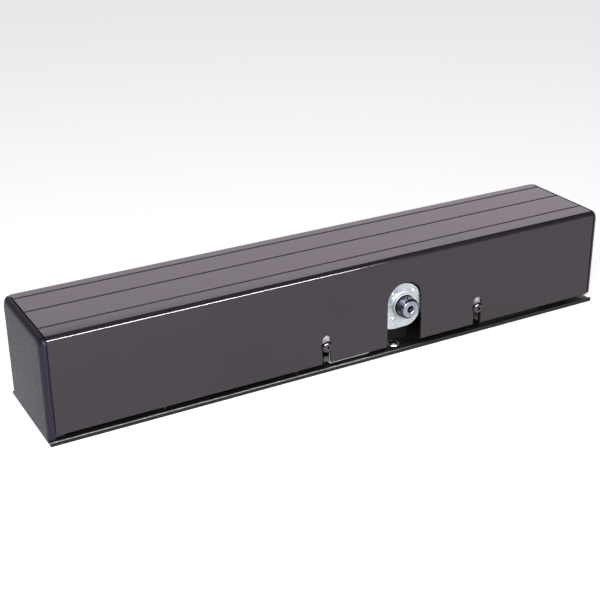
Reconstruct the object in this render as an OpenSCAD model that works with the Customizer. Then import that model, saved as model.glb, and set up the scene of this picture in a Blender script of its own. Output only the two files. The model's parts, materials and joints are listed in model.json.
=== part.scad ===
// Low-energy swing-door operator (electromechanical door closer) in a long header.
// A worm gearmotor opens the door through the output spindle, and a spring behind
// a rack closes it. The back plate lies on z = 0, the header runs along X, the
// spindle comes out of the front (-Y), and +Z points away from the mounting wall.

/* [Header] */
// Length of the extruded cover between its end caps
cover_len = 696; // [690:1:712]
// Thickness of each end cap
cap_t = 8; // [6:0.5:10]
// Depth of the cover, front to back
cover_depth = 126; // [126:1:130]
// Height of the cover's top above the mounting face
cover_top = 119; // [119:1:124]
// Height of the cover's lower edge above the mounting face
cover_bottom = 9; // [7:0.5:10]
// Wall of the extruded cover
cover_wall = 2.5; // [2:0.1:2.5]
// Radius of the cover's two long top edges
cover_corner_r = 5.5; // [4:0.5:7]
// How far the back plate stands out in front of the cover
plate_lip = 4; // [2:0.5:6]
// Spacing of the four wall screws along the header
wall_screw_dx = 650; // [640:1:656]
// Spacing of the four wall screws across the header
wall_screw_dy = 96; // [90:1:100]

/* [Output] */
// Distance of the spindle from the middle of the header
spindle_x = 73; // [70:1:75]
// Height of the spindle's axis above the mounting face
spindle_z = 56.5; // [56.5:0.5:57]
// Outer radius of the serrated spindle end
spindle_r = 12.3; // [12:0.1:12.6]
// Number of serrations around the spindle end
serrations = 48; // [36:4:60]
// How far the spindle's end stands out from the cover's front
spindle_reach = 12; // [8:1:20]
// Radius of the output flange
flange_r = 40; // [39:0.5:41]
// Width of the notch in the cover's front wall
notch_w = 46.6; // [42:0.2:50]
// Distance from the spindle to each cover screw
screw_pitch = 104; // [102:1:106]
// Height of the cover screws above the mounting face
screw_z = 29.8; // [28:0.2:32]

/* [Drive] */
// Radius of the motor's body
motor_r = 27; // [25:0.5:28]
// Length of the motor's steel can
motor_can_len = 90; // [86:1:94]
// Length of the spring tube
tube_len = 180; // [170:1:186]
// Coils of the return spring
spring_turns = 13; // [10:1:15]

/* [Hidden] */
$fn = 64;

// Clearance between a running shaft and its bore, on the radius
run_gap = 0.05;
// Clearance between pieces that are pressed or keyed together
seat_gap = 0.02;
// Clearance between pieces that move past each other with no bearing
free_gap = 0.3;
// Gap left between screws and the holes they pass through, on the radius
screw_gap = 0.1;

// Back plate and cover
plate_t = 3;
cover_x = cover_len / 2;
cover_y = cover_depth / 2;
wall_in_y = cover_y - cover_wall;
header_x = cover_x + cap_t;
plate_right = header_x - 4;
plate_front = -cover_y - plate_lip;
plate_rim_t = 1.8;
plate_rim_top = 4.8;
wall_screw_r = 3.5;
cable_hole_x = 300;
cable_hole_y = 44;
cable_hole_r = 11;
groove_w = 2;
groove_depth = 1;
groove_y = [-36.6, 7.6, 45.2];
notch_r = notch_w / 2;
notch_z = spindle_z + 6;
slot_r = 5.5;
slot_top_z = screw_z + 8.4;

// End caps: the left one reaches lower, to just above the back plate
cap_bottom_left = plate_t + 0.4;
cap_bottom_right = cover_bottom + 1;
cap_round = 7.5;
tongue_len = 10;
tongue_t = 2;

// Mode switch in the right end cap
switch_y = 22;
switch_z = 46;
switch_w = 14;
switch_h = 20;
switch_depth = 16;
switch_wall = 1.5;
rocker_pivot_x = header_x - 5;
rocker_pin_r = 1.5;
rocker_r = 8.2;
rocker_hollow_r = 15;

// Cover screws and brackets
screw_shank_r = 2.9;
screw_head_r = 6.7;
screw_head_h = 3.3;
left_screw_x = spindle_x - screw_pitch;
right_screw_x = spindle_x + screw_pitch;
bracket_t = 2;
bracket_front = -wall_in_y + free_gap + 0.1;
bracket_top = screw_z + 16;
bracket_back = bracket_front + 14;
ear_reach = 12;
ear_bottom = screw_z - 4.75;
skirt_left = left_screw_x + slot_r;
skirt_right = left_screw_x + 58;
skirt_bottom = cover_bottom - 3.2;

// Spindle and gears, along Y
flange_front = -58;
flange_back = -52;
hub_front = -62.7;
hub_r = 15;
retainer_front = flange_front - 1.2;
bearing_back = -43;
drum_back = -3;
drum_in_back = -11;
hub_inner_y = -56;
wheel_mid = -31;
wheel_w = 14;
wheel_back = wheel_mid + wheel_w / 2 + 2;
pinion_front = 10;
pinion_back = 34;
block_front = -3;
block_back = 48;
journal_r = 15;
wheel_seat_r = 13;
mid_shaft_r = 11;
pinion_seat_r = 9.5;
rear_journal_r = 8.5;
rear_bearing_r = 15;
rear_bearing_back = 45;
flange_x = spindle_x - 4;
flange_z = spindle_z + 10.5;
flange_screw_pcd_r = 33;
flange_screw_angles = [10, 60, 120, 190];
bearing_r = 23.5;
retainer_screw_r = 20.6;
retainer_corners = [[-0.3, 2.7, 23.8], [-8, 2.7, 23.8], [-11.8, -8, 20.3], [3.9, -8.7, 19.3]];
thread_r = 3.4;
thread_depth = 24;
key_w = 5;
key_half_h = 2.2;

// Foot under the gearbox, with its screw in front
foot_front = -59;
foot_t = 1.6;
foot_top = 33;
foot_screw = [65.5, -50.5];

// Worm gearing: the worm lies over the wheel, along X
gear_module = 2;
wheel_teeth = 22;
worm_starts = 2;
wheel_pitch_r = gear_module * wheel_teeth / 2;
worm_pitch_r = 9;
worm_z = spindle_z + wheel_pitch_r + worm_pitch_r;
worm_lead = PI * gear_module * worm_starts;
worm_len = 34;
worm_lead_angle = atan(worm_lead / (2 * PI * worm_pitch_r));
worm_shaft_r = 5;
boss_r = 17;
boss_left = 24;
boss_right = 116;
worm_bearing_w = 8;
worm_bearing_r = 13;

// Rack and pinion: the rack is cut in the top of a round piston
pinion_teeth = 14;
pinion_pitch_r = gear_module * pinion_teeth / 2;
rack_z = spindle_z - pinion_pitch_r;
piston_y = (pinion_front + pinion_back) / 2;
piston_z = rack_z - 12.5;
piston_r = 20;
piston_left = 38;
piston_right = 122;
block_left = 33;
block_right = 113;
block_top = 75;
block_foot = 10;
block_foot_t = 5;
carrier_r = 18;
carrier_front = 37;
carrier_screw_r = 21.5;
housing_screw_places = [foot_screw, [block_left + 10, block_back + 5],
    [block_right - 10, block_back + 5]];
tooth_pitch = PI * gear_module;
addendum = 0.8 * gear_module;
dedendum = 1.25 * gear_module;
tooth_w = 2.2;

// Return spring
tube_r = 24;
tube_in_r = 21.5;
tube_right = block_left + 6;
tube_left = tube_right - tube_len;
seat_x = tube_left + 24;
seat_t = 5;
spring_r = 17;
spring_wire_r = 2.4;

// Motor, along X
motor_y = wheel_mid;
bell_right = boss_right + 8;
can_right = bell_right + motor_can_len;
rear_cap_right = can_right + 18;
encoder_x = rear_cap_right + 4;
board_x = encoder_x + 5;
bracket_x = can_right - 24;

// Electronics
pcb_left = -230;
pcb_right = -60;
pcb_front = -56;
pcb_back = -10;
pcb_z = 13;
pcb_t = 1.6;
pcb_top = pcb_z + pcb_t;
standoff_places = [for (x = [pcb_left + 5, pcb_right - 5], y = [pcb_front + 5, pcb_back - 5])
    [x, y]];
core_left = -312;
core_right = -246;
core_y = 28;
core_top = 62;
core_screw_places = [for (x = [core_left + 6, core_right - 6], y = [-34, 34]) [x, y]];
earth_x = -232;
earth_y = 44;

// Cable routes, from the motor end to the controller end
motor_cable_route = [
    [228, -31, 60], [228, -31, 50], [232, -20, 42], [236, 0, 46], [228, 20, 62],
    [205, 30, 78], [170, 32, 80], [130, 32, 80], [90, 32, 79], [45, 32, 79],
    [10, 32, 74], [-15, 32, 64], [-45, 31, 60], [-62, 20, 61], [-70, 0, 54],
    [-72, -14, 42], [-72, -22, 34]
];
encoder_cable_route = [
    [248, -31, 72], [254, -31, 70], [260, -24, 66], [262, -8, 66], [252, 20, 70],
    [225, 38, 78], [180, 42, 79], [130, 42, 79], [90, 42, 79], [45, 42, 79],
    [12, 42, 76], [-16, 42, 66], [-70, 42, 57], [-110, 40, 57], [-128, 20, 60],
    [-134, -4, 52], [-136, -16, 40], [-136, -20, 30]
];
supply_cable_route = [
    [292, 6, 32], [291, 16, 37], [288, 32, 40], [272, 46, 50], [242, 52, 68],
    [200, 52, 80], [150, 52, 80], [90, 52, 80], [40, 52, 80], [10, 52, 72],
    [-20, 52, 60], [-80, 52, 50], [-140, 52, 44], [-200, 50, 40], [-230, 38, 38],
    [-238, 20, 38], [-242, 8, 38]
];

// Shapes used more than once

module rod_x(x0, x1, y, z, r) {
    translate([x0, y, z]) rotate([0, 90, 0]) cylinder(h = x1 - x0, r = r);
}

module rod_y(y0, y1, x, z, r) {
    translate([x, y0, z]) rotate([-90, 0, 0]) cylinder(h = y1 - y0, r = r);
}

module rod_z(z0, z1, x, y, r) {
    translate([x, y, z0]) cylinder(h = z1 - z0, r = r);
}

module box(x0, x1, y0, y1, z0, z1) {
    translate([x0, y0, z0]) cube([x1 - x0, y1 - y0, z1 - z0]);
}

// A box at the height where the back plate ends
module on_plate(x0, x1, y0, y1, height) {
    box(x0, x1, y0, y1, plate_t, plate_t + height);
}

// A ball bearing seen as its two races with a groove between them, along Z
module ball_bearing(bore_r, outer_r, width) {
    mid_r = (bore_r + outer_r) / 2;
    groove = (outer_r - bore_r) / 6;
    difference() {
        cylinder(h = width, r = outer_r);
        translate([0, 0, -1]) cylinder(h = width + 2, r = bore_r);
        for (z = [-1, width - 0.6])
            translate([0, 0, z]) difference() {
                cylinder(h = 1.6, r = mid_r + groove);
                translate([0, 0, -1]) cylinder(h = 4, r = mid_r - groove);
            }
    }
}

// Screw with a domed head and a hexagon recess: shank below z = 0, head above
module domed_screw(shank_r, shank_len, head_r, head_h) {
    dome_r = (head_r * head_r + head_h * head_h) / (2 * head_h) + 1;
    difference() {
        union() {
            translate([0, 0, -shank_len]) cylinder(h = shank_len + 0.5, r = shank_r);
            intersection() {
                cylinder(h = head_h, r = head_r);
                translate([0, 0, head_h - dome_r]) sphere(r = dome_r);
            }
        }
        translate([0, 0, head_h * 0.35]) cylinder(h = head_h, r = shank_r * 0.75, $fn = 6);
    }
}

// Screw with a cylindrical head and a hexagon recess
module cap_screw(shank_r, shank_len, head_r, head_h) {
    difference() {
        union() {
            translate([0, 0, -shank_len]) cylinder(h = shank_len + 0.5, r = shank_r);
            cylinder(h = head_h, r = head_r);
        }
        translate([0, 0, head_h * 0.4]) cylinder(h = head_h, r = shank_r * 0.8, $fn = 6);
    }
}

// Corners of one gear tooth around the pitch circle, at angle a
function tooth_corners(pitch_r, a, w) =
    let (
        root_r = pitch_r - dedendum,
        tip_r = pitch_r + addendum,
        half_root = (w * 1.45) / 2 / root_r * 180 / PI,
        half_pitch = w / 2 / pitch_r * 180 / PI,
        half_tip = (w * 0.5) / 2 / tip_r * 180 / PI
    )
    [for (c = [[root_r, -half_root], [pitch_r, -half_pitch], [tip_r, -half_tip],
               [tip_r, half_tip], [pitch_r, half_pitch], [root_r, half_root]])
        [c[0] * cos(a + c[1]), c[0] * sin(a + c[1])]];

module gear_outline(pitch_r, teeth, w) {
    polygon([for (k = [0 : teeth - 1]) each tooth_corners(pitch_r, 360 * k / teeth, w)]);
}

// Points of a smooth curve through a route, steps points to each stretch
function curve_point(a, b, c, d, t) =
    0.5 * (2 * b + (c - a) * t + (2 * a - 5 * b + 4 * c - d) * t * t
        + (3 * b - a - 3 * c + d) * t * t * t);
function smooth_route(p, steps) =
    let (n = len(p))
    [for (i = [0 : n - 2], s = [0 : steps - 1])
        curve_point(p[max(i - 1, 0)], p[i], p[i + 1], p[min(i + 2, n - 1)], s / steps),
     p[n - 1]];
function unit(v) = v / norm(v);
function path_direction(p, i) = unit(p[min(i + 1, len(p) - 1)] - p[max(i - 1, 0)]);
// Side direction of each ring, turned along the path so that it does not twist
function ring_sides(p, i = 0, last = undef, found = []) =
    i == len(p) ? found
    : let (
        d = path_direction(p, i),
        start = abs(d[2]) < 0.9 ? [0, 0, 1] : [1, 0, 0],
        raw = last == undef ? start : last,
        side = unit(raw - (raw * d) * d)
    ) ring_sides(p, i + 1, side, concat(found, [side]));

// A closed round tube of radius r along the points of p
module swept_tube(p, r, sides) {
    side = ring_sides(p);
    rings = [for (i = [0 : len(p) - 1], k = [0 : sides - 1])
        let (d = path_direction(p, i), a = 360 * k / sides)
        p[i] + r * (cos(a) * side[i] + sin(a) * cross(d, side[i]))];
    walls = [for (i = [0 : len(p) - 2], k = [0 : sides - 1])
        let (a = i * sides + k, b = i * sides + (k + 1) % sides)
        each [[a, a + sides, b], [b, a + sides, b + sides]]];
    last = (len(p) - 1) * sides;
    ends = [[for (k = [0 : sides - 1]) k], [for (k = [sides - 1 : -1 : 0]) last + k]];
    polyhedron(points = rings, faces = concat(walls, ends));
}

// Header

module back_plate() color("#1c1c1e") difference() {
    union() {
        box(-header_x, plate_right, plate_front, cover_y, 0, plate_t);
        box(-header_x, plate_right, plate_front, plate_front + plate_rim_t, 0, plate_rim_top);
    }
    for (sx = [-1, 1], sy = [-1, 1])
        rod_z(-1, plate_t + 1, sx * wall_screw_dx / 2, sy * wall_screw_dy / 2, wall_screw_r);
    rod_z(-1, plate_t + 1, cable_hole_x, cable_hole_y, cable_hole_r);
    for (p = housing_screw_places) rod_z(-1, plate_t + 1, p[0], p[1], 3);
    for (p = standoff_places) rod_z(-1, plate_t + 1, p[0], p[1], 1.6);
    for (p = core_screw_places) rod_z(-1, plate_t + 1, p[0], p[1], 2.1);
    rod_z(-1, plate_t + 1, earth_x, earth_y, 2.6);
}

// Outline of the cover across the header, as an upside-down U
module cover_outline(inset, round_r, bottom) {
    half = cover_y - inset;
    top = cover_top - inset;
    translate([-half, bottom]) square([2 * half, top - round_r - bottom]);
    translate([-half + round_r, bottom]) square([2 * (half - round_r), top - bottom]);
    for (s = [-1, 1]) translate([s * (half - round_r), top - round_r]) circle(r = round_r);
}

module along_x(x0, x1) {
    translate([x0, 0, 0]) rotate([90, 0, 90]) linear_extrude(height = x1 - x0) children();
}

module cover() color("#4f484d") difference() {
    along_x(-cover_x, cover_x) cover_outline(0, cover_corner_r, cover_bottom);
    along_x(-cover_x - 1, cover_x + 1)
        cover_outline(cover_wall, cover_corner_r - cover_wall, cover_bottom - 1);
    for (y = groove_y)
        box(-cover_x - 1, cover_x + 1, y - groove_w / 2, y + groove_w / 2,
            cover_top - groove_depth, cover_top + 1);
    rod_y(-cover_y - 1, -cover_y + 10, spindle_x, notch_z, notch_r);
    box(spindle_x - notch_r, spindle_x + notch_r, -cover_y - 1, -cover_y + 10, 0, notch_z);
    for (s = [-1, 1]) {
        slot_x = spindle_x + s * screw_pitch;
        rod_y(-cover_y - 1, -cover_y + 10, slot_x, slot_top_z, slot_r);
        box(slot_x - slot_r, slot_x + slot_r, -cover_y - 1, -cover_y + 10, 0, slot_top_z);
    }
}

// End cap on the +X end: a plate with rounded outer edges and a tongue in the cover
module end_cap(cap_bottom) {
    steps = 6;
    hull() {
        for (k = [0 : steps]) {
            a = 90 * k / steps;
            inset = cap_round * (1 - cos(a));
            reach = cap_t - cap_round * (1 - sin(a));
            translate([cover_x, 0, 0]) rotate([90, 0, 90])
                linear_extrude(height = reach) cover_outline(inset, cap_round, cap_bottom);
        }
    }
    tongue_gap = cover_wall + 0.1;
    translate([cover_x - tongue_len, 0, 0]) rotate([90, 0, 90])
        linear_extrude(height = tongue_len) difference() {
            cover_outline(tongue_gap, cover_corner_r - cover_wall, cap_bottom + 2);
            cover_outline(tongue_gap + tongue_t, 2, cap_bottom - 2);
        }
}

module end_cap_left() color("#625f6b") mirror([1, 0, 0]) end_cap(cap_bottom_left);

module end_cap_right() color("#625f6b") difference() {
    end_cap(cap_bottom_right);
    box(cover_x - 1, header_x + 1, switch_y - switch_w / 2, switch_y + switch_w / 2,
        switch_z - switch_h / 2, switch_z + switch_h / 2);
}

// Switch case: an open box through the right end cap
module mode_switch_body() color("#17171a") {
    half_w = switch_w / 2 - 0.05;
    half_h = switch_h / 2 - 0.05;
    difference() {
        box(header_x - switch_depth, header_x - 0.5, switch_y - half_w, switch_y + half_w,
            switch_z - half_h, switch_z + half_h);
        box(header_x - switch_depth + 2, header_x, switch_y - half_w + switch_wall,
            switch_y + half_w - switch_wall, switch_z - half_h + 0.8, switch_z + half_h - 0.8);
        rod_y(switch_y - half_w - 1, switch_y + half_w + 1, rocker_pivot_x, switch_z,
            rocker_pin_r + run_gap);
    }
}

// Three-position rocker that tilts about Y on two stub pins
module mode_rocker() color("#b3262a") {
    half_w = switch_w / 2 - switch_wall - 0.4;
    rod_y(switch_y - switch_w / 2 + 0.3, switch_y + switch_w / 2 - 0.3, rocker_pivot_x,
        switch_z, rocker_pin_r);
    difference() {
        intersection() {
            rod_y(switch_y - half_w, switch_y + half_w, rocker_pivot_x, switch_z, rocker_r);
            box(rocker_pivot_x - 4, rocker_pivot_x + 6, switch_y - half_w, switch_y + half_w,
                switch_z - 8, switch_z + 8);
        }
        rod_y(switch_y - half_w - 1, switch_y + half_w + 1,
            rocker_pivot_x + rocker_hollow_r + 4, switch_z, rocker_hollow_r);
    }
}

// Hole for a cover screw through a bracket's upright part
module bracket_hole(x) {
    rod_y(bracket_front - 1, bracket_front + bracket_t + 1, x, screw_z, screw_shank_r + screw_gap);
}

// Bent sheet: an ear round the left screw, a skirt that shows under the cover's edge,
// a shelf at the skirt's lower edge and a foot behind it on the back plate
module cover_bracket_left() color("#c9c9cf") difference() {
    union() {
        box(left_screw_x - ear_reach, skirt_left + 0.5, bracket_front, bracket_front + bracket_t,
            ear_bottom, bracket_top);
        box(skirt_left, skirt_right, bracket_front, bracket_front + bracket_t, skirt_bottom,
            bracket_top);
        box(skirt_left, skirt_right, bracket_front, bracket_back, skirt_bottom,
            skirt_bottom + bracket_t);
        box(skirt_left, skirt_right, bracket_back - bracket_t, bracket_back, plate_t,
            skirt_bottom + bracket_t);
        on_plate(skirt_left, skirt_right, bracket_back - bracket_t, bracket_back + 6, bracket_t);
    }
    bracket_hole(left_screw_x);
}

// Bent sheet behind the right screw: an upright part that is cut off at an angle at its
// far corner, with a foot on the back plate and a seat for the plated ear
module cover_bracket_right() color("#1c1c1e") {
    x0 = right_screw_x + slot_r;
    x1 = right_screw_x + 98;
    corner_cut = 34;
    difference() {
        union() {
            box(x0, x1, bracket_front, bracket_front + bracket_t, plate_t, bracket_top);
            on_plate(x0, x1, bracket_front, bracket_front + 12, bracket_t);
        }
        translate([x1, bracket_front, bracket_top]) rotate([0, 45, 0])
            cube([corner_cut, 4 * bracket_t, corner_cut], center = true);
    }
}

// Plated ear that takes the right screw, lapped behind the right bracket
module bracket_ear_right() color("#c9c9cf") difference() {
    lap_x = right_screw_x + slot_r;
    union() {
        box(right_screw_x - ear_reach, lap_x - seat_gap, bracket_front,
            bracket_front + bracket_t, ear_bottom, bracket_top);
        box(lap_x - bracket_t, lap_x + 14, bracket_front + bracket_t + seat_gap,
            bracket_front + 2 * bracket_t, ear_bottom, bracket_top);
        box(lap_x - bracket_t, lap_x - seat_gap, bracket_front, bracket_front + 2 * bracket_t,
            ear_bottom, bracket_top);
    }
    bracket_hole(right_screw_x);
}

module cover_screws() color("#1d1c1e") {
    for (x = [left_screw_x, right_screw_x])
        translate([x, -cover_y - free_gap, screw_z]) rotate([90, 0, 0])
            domed_screw(screw_shank_r, 12, screw_head_r, screw_head_h);
}

// Output spindle and its bearings

module output_spindle() color("#45464e") {
    end_y = -cover_y - spindle_reach;
    chamfer = 3.5;
    serration_depth = 0.7;
    difference() {
        union() {
            intersection() {
                translate([spindle_x, end_y, spindle_z]) rotate([-90, 0, 0])
                    linear_extrude(height = hub_inner_y - end_y)
                        polygon([for (k = [0 : 2 * serrations - 1])
                            let (r = spindle_r - (k % 2) * serration_depth, a = 180 * k / serrations)
                            [r * cos(a), r * sin(a)]]);
                union() {
                    translate([spindle_x, end_y, spindle_z]) rotate([-90, 0, 0])
                        cylinder(h = chamfer, r1 = spindle_r - chamfer * 0.8, r2 = spindle_r + 0.1);
                    rod_y(end_y + chamfer, 0, spindle_x, spindle_z, spindle_r + 0.1);
                }
            }
            rod_y(hub_inner_y, -42, spindle_x, spindle_z, journal_r - run_gap);
            rod_y(-42, wheel_back, spindle_x, spindle_z, wheel_seat_r);
            rod_y(wheel_back, wheel_back + 4, spindle_x, spindle_z, journal_r + 2);
            rod_y(wheel_back + 4, pinion_front - 2, spindle_x, spindle_z, mid_shaft_r);
            rod_y(pinion_front - 2, pinion_back + 2, spindle_x, spindle_z, pinion_seat_r);
            rod_y(pinion_back + 2, 45, spindle_x, spindle_z, rear_journal_r - run_gap);
        }
        rod_y(end_y - 1, end_y + thread_depth, spindle_x, spindle_z, thread_r);
        translate([spindle_x, end_y - 0.01, spindle_z]) rotate([-90, 0, 0])
            cylinder(h = 1.6, r1 = thread_r + 1.6, r2 = thread_r);
        key_slot(wheel_mid - 6, wheel_mid + 6, wheel_seat_r);
        key_slot(pinion_front + 5, pinion_back - 5, pinion_seat_r);
    }
}

// Space for a parallel key on the -Z side of the spindle
module key_slot(y0, y1, seat_r) {
    box(spindle_x - key_w / 2, spindle_x + key_w / 2, y0, y1,
        spindle_z - seat_r - key_half_h, spindle_z - seat_r + key_half_h);
}

module drive_keys() color("#9a9a9e") {
    for (k = [[wheel_mid - 6, wheel_mid + 6, wheel_seat_r],
              [pinion_front + 5, pinion_back - 5, pinion_seat_r]])
        box(spindle_x - key_w / 2 + seat_gap, spindle_x + key_w / 2 - seat_gap,
            k[0] + seat_gap, k[1] - seat_gap, spindle_z - k[2] - key_half_h + seat_gap,
            spindle_z - k[2] + key_half_h - seat_gap);
}

module at_flange_screws() {
    for (a = flange_screw_angles)
        translate([flange_x + flange_screw_pcd_r * cos(a), 0,
            flange_z + flange_screw_pcd_r * sin(a)]) children();
}

module output_flange() color("#1c1c1e") {
    rim = 2;
    difference() {
        union() {
            translate([flange_x, flange_front, flange_z]) rotate([-90, 0, 0])
                cylinder(h = rim, r1 = flange_r - rim, r2 = flange_r);
            rod_y(flange_front + rim, flange_back, flange_x, flange_z, flange_r);
            rod_y(flange_back - 1, bearing_back, spindle_x, spindle_z, bearing_r + 2);
        }
        rod_y(flange_front - 1, flange_back + 1, spindle_x, spindle_z, journal_r + 0.5);
        at_retainer_screws() rod_y(flange_front - 1, flange_front + 4.2, 0, 0, 1.3);
        rod_y(flange_back, bearing_back + 1, spindle_x, spindle_z, bearing_r);
        at_flange_screws() rod_y(flange_front - 1, 0, 0, 0, 2.1);
        at_flange_screws() rod_y(flange_front - 1, flange_front + 2.4, 0, 0, 4);
    }
}

module at_retainer_screws() {
    for (a = [48, 132, 228, 312])
        translate([spindle_x + retainer_screw_r * cos(a), 0,
            spindle_z + retainer_screw_r * sin(a)]) children();
}

// Bright plate with rounded corners and a raised hub that closes the flange around the spindle
module seal_retainer() color("#d6dde0") {
    difference() {
        union() {
            hull() for (c = retainer_corners)
                rod_y(retainer_front, flange_front, spindle_x + c[0], spindle_z + c[1], c[2]);
            rod_y(hub_front + 1, flange_front, spindle_x, spindle_z, hub_r);
            translate([spindle_x, hub_front, spindle_z]) rotate([-90, 0, 0])
                cylinder(h = 1, r1 = hub_r - 1, r2 = hub_r);
        }
        rod_y(hub_front - 1, flange_front + 1, spindle_x, spindle_z, spindle_r + 0.5);
        at_retainer_screws() rod_y(hub_front, flange_front + 1, 0, 0, 1.3);
    }
}

module retainer_screws() color("#8e9194") {
    at_retainer_screws()
        translate([0, retainer_front, 0]) rotate([90, 0, 0])
            domed_screw(1.2, 4.6, 2.2, 1.1);
}

module flange_screws() color("#8e9194") {
    at_flange_screws()
        translate([0, flange_front + 2.4, 0]) rotate([90, 0, 0])
            cap_screw(2, 10, 3.8, 2.2);
}

module front_bearing() color("#b9bcc0") {
    translate([spindle_x, flange_back, spindle_z]) rotate([-90, 0, 0])
        ball_bearing(journal_r, bearing_r, bearing_back - flange_back);
}

// Cast drum that carries the worm gearing
module gearbox_housing() color("#5b5d60") {
    drum_in_r = flange_r - 3;
    difference() {
        union() {
            rod_y(flange_back, drum_back, flange_x, flange_z, flange_r);
            rod_x(boss_left, boss_right, motor_y, worm_z, boss_r);
        }
        rod_y(flange_back - 1, drum_in_back, flange_x, flange_z, drum_in_r);
        rod_y(drum_in_back - 1, drum_back + 1, spindle_x, spindle_z, mid_shaft_r + 1);
        rod_x(boss_left - 1, boss_right + 1, motor_y, worm_z, worm_bearing_r);
    }
    at_flange_screws() difference() {
        rod_y(flange_back, flange_back + 10, 0, 0, 4.5);
        rod_y(flange_back - 1, flange_back + 8, 0, 0, 2.1);
    }
}

// Welded foot that carries the drum, with a tongue in front for its screw
module gearbox_foot() color("#1c1c1e") difference() {
    union() {
        on_plate(46, 92, -40, drum_back, foot_top - plate_t);
        on_plate(50, 84, foot_front, -38, foot_t);
    }
    rod_y(flange_back - 1, drum_back + 1, flange_x, flange_z, flange_r + seat_gap);
    rod_z(plate_t - 1, plate_t + foot_t + 1, foot_screw[0], foot_screw[1], 3);
}

module worm_wheel() color("#b98a4a") {
    twist = wheel_w * tan(worm_lead_angle) / wheel_pitch_r * 180 / PI;
    difference() {
        translate([spindle_x, wheel_mid - wheel_w / 2, spindle_z]) rotate([-90, 0, 0])
            linear_extrude(height = wheel_w, twist = -twist, slices = 4)
                rotate(-90 - twist / 2) gear_outline(wheel_pitch_r, wheel_teeth, tooth_w);
        rod_y(wheel_mid - wheel_w, wheel_mid + wheel_w, spindle_x, spindle_z,
            wheel_seat_r + seat_gap);
        key_slot(wheel_mid - wheel_w, wheel_mid + wheel_w, wheel_seat_r);
    }
}

// Corners of the worm's cross-section: one lobe for each start
function worm_section() =
    let (
        root_r = worm_pitch_r - dedendum,
        tip_r = worm_pitch_r + addendum,
        spread = 360 / worm_lead,
        half_tip = spread * tooth_w * 0.5 / 2,
        half_root = spread * tooth_w * 1.45 / 2
    )
    [for (s = [0 : worm_starts - 1])
        let (mid = 90 + 360 * s / worm_starts)
        each concat(
            [for (a = [-half_root, -half_root * 0.75 - half_tip * 0.25])
                let (r = a == -half_root ? root_r : root_r + 1)
                [r * cos(mid + a), r * sin(mid + a)]],
            [for (a = [-half_tip, -half_tip / 3, half_tip / 3, half_tip])
                [tip_r * cos(mid + a), tip_r * sin(mid + a)]],
            [for (a = [half_root * 0.75 + half_tip * 0.25, half_root])
                let (r = a == half_root ? root_r : root_r + 1)
                [r * cos(mid + a), r * sin(mid + a)]],
            [for (k = [1 : 3])
                let (a = half_root + (360 / worm_starts - 2 * half_root) * k / 4)
                [root_r * cos(mid + a), root_r * sin(mid + a)]]
        )];

module worm_shaft() color("#a7abb0") {
    turns = worm_len / worm_lead * 360;
    translate([spindle_x - worm_len / 2, motor_y, worm_z]) rotate([0, 90, 0])
        linear_extrude(height = worm_len, twist = -turns, slices = 54)
            rotate(-turns / 2) polygon(worm_section());
    rod_x(boss_left + 2, encoder_x + 3, motor_y, worm_z, worm_shaft_r - run_gap);
}

module worm_bearings() color("#b9bcc0") {
    for (x = [boss_left + 4, boss_right - worm_bearing_w - 2])
        translate([x, motor_y, worm_z]) rotate([0, 90, 0])
            ball_bearing(worm_shaft_r, worm_bearing_r, worm_bearing_w);
}

module worm_end_cover() color("#3a3b3e") {
    rod_x(boss_left - 3, boss_left, motor_y, worm_z, boss_r - 1);
    rod_x(boss_left, boss_left + 1.8, motor_y, worm_z, worm_bearing_r - 0.1);
}

// Block that carries the rack piston, the pinion and the spindle's rear bearing
module piston_housing() color("#6a6c70") {
    difference() {
        union() {
            box(block_left, block_right, block_front, block_back, plate_t, block_top);
            on_plate(block_left, block_right, block_back, block_back + block_foot, block_foot_t);
        }
        rod_x(block_left - 1, block_right + 1, piston_y, piston_z, piston_r + run_gap);
        rod_x(block_left - 1, tube_right, piston_y, piston_z, tube_r + seat_gap);
        rod_y(pinion_front - 2, block_back + 1, spindle_x, spindle_z, carrier_r);
        rod_y(block_front - 1, pinion_front, spindle_x, spindle_z, mid_shaft_r + 1);
        at_carrier_screws() rod_y(block_back - 12, block_back + 1, 0, 0, 1.7);
        for (x = [block_left + 10, block_right - 10])
            rod_z(plate_t - 1, plate_t + block_foot_t + 1, x, block_back + 5, 3);
    }
}

module at_carrier_screws() {
    for (a = [30, 150])
        translate([spindle_x + carrier_screw_r * cos(a), 0,
            spindle_z + carrier_screw_r * sin(a)]) children();
}

module rear_bearing_carrier() color("#7d8085") {
    difference() {
        union() {
            rod_y(carrier_front, block_back, spindle_x, spindle_z, carrier_r - run_gap);
            intersection() {
                rod_y(block_back, block_back + 4, spindle_x, spindle_z, 25);
                box(block_left, block_right, block_back, block_back + 10, 47, block_top);
            }
        }
        rod_y(carrier_front - 1, rear_bearing_back, spindle_x, spindle_z, rear_bearing_r);
        at_carrier_screws() rod_y(block_back - 1, block_back + 5, 0, 0, 1.8);
        box(block_left, block_right, carrier_front - 1, block_back, 0, 51);
    }
}

module carrier_screws() color("#8e9194") {
    at_carrier_screws()
        translate([0, block_back + 4, 0]) rotate([-90, 0, 0]) cap_screw(1.6, 12, 3, 3);
}

module rear_bearing() color("#b9bcc0") {
    translate([spindle_x, carrier_front + 1, spindle_z]) rotate([-90, 0, 0])
        ball_bearing(rear_journal_r, rear_bearing_r - seat_gap,
            rear_bearing_back - carrier_front - 1);
}

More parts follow.
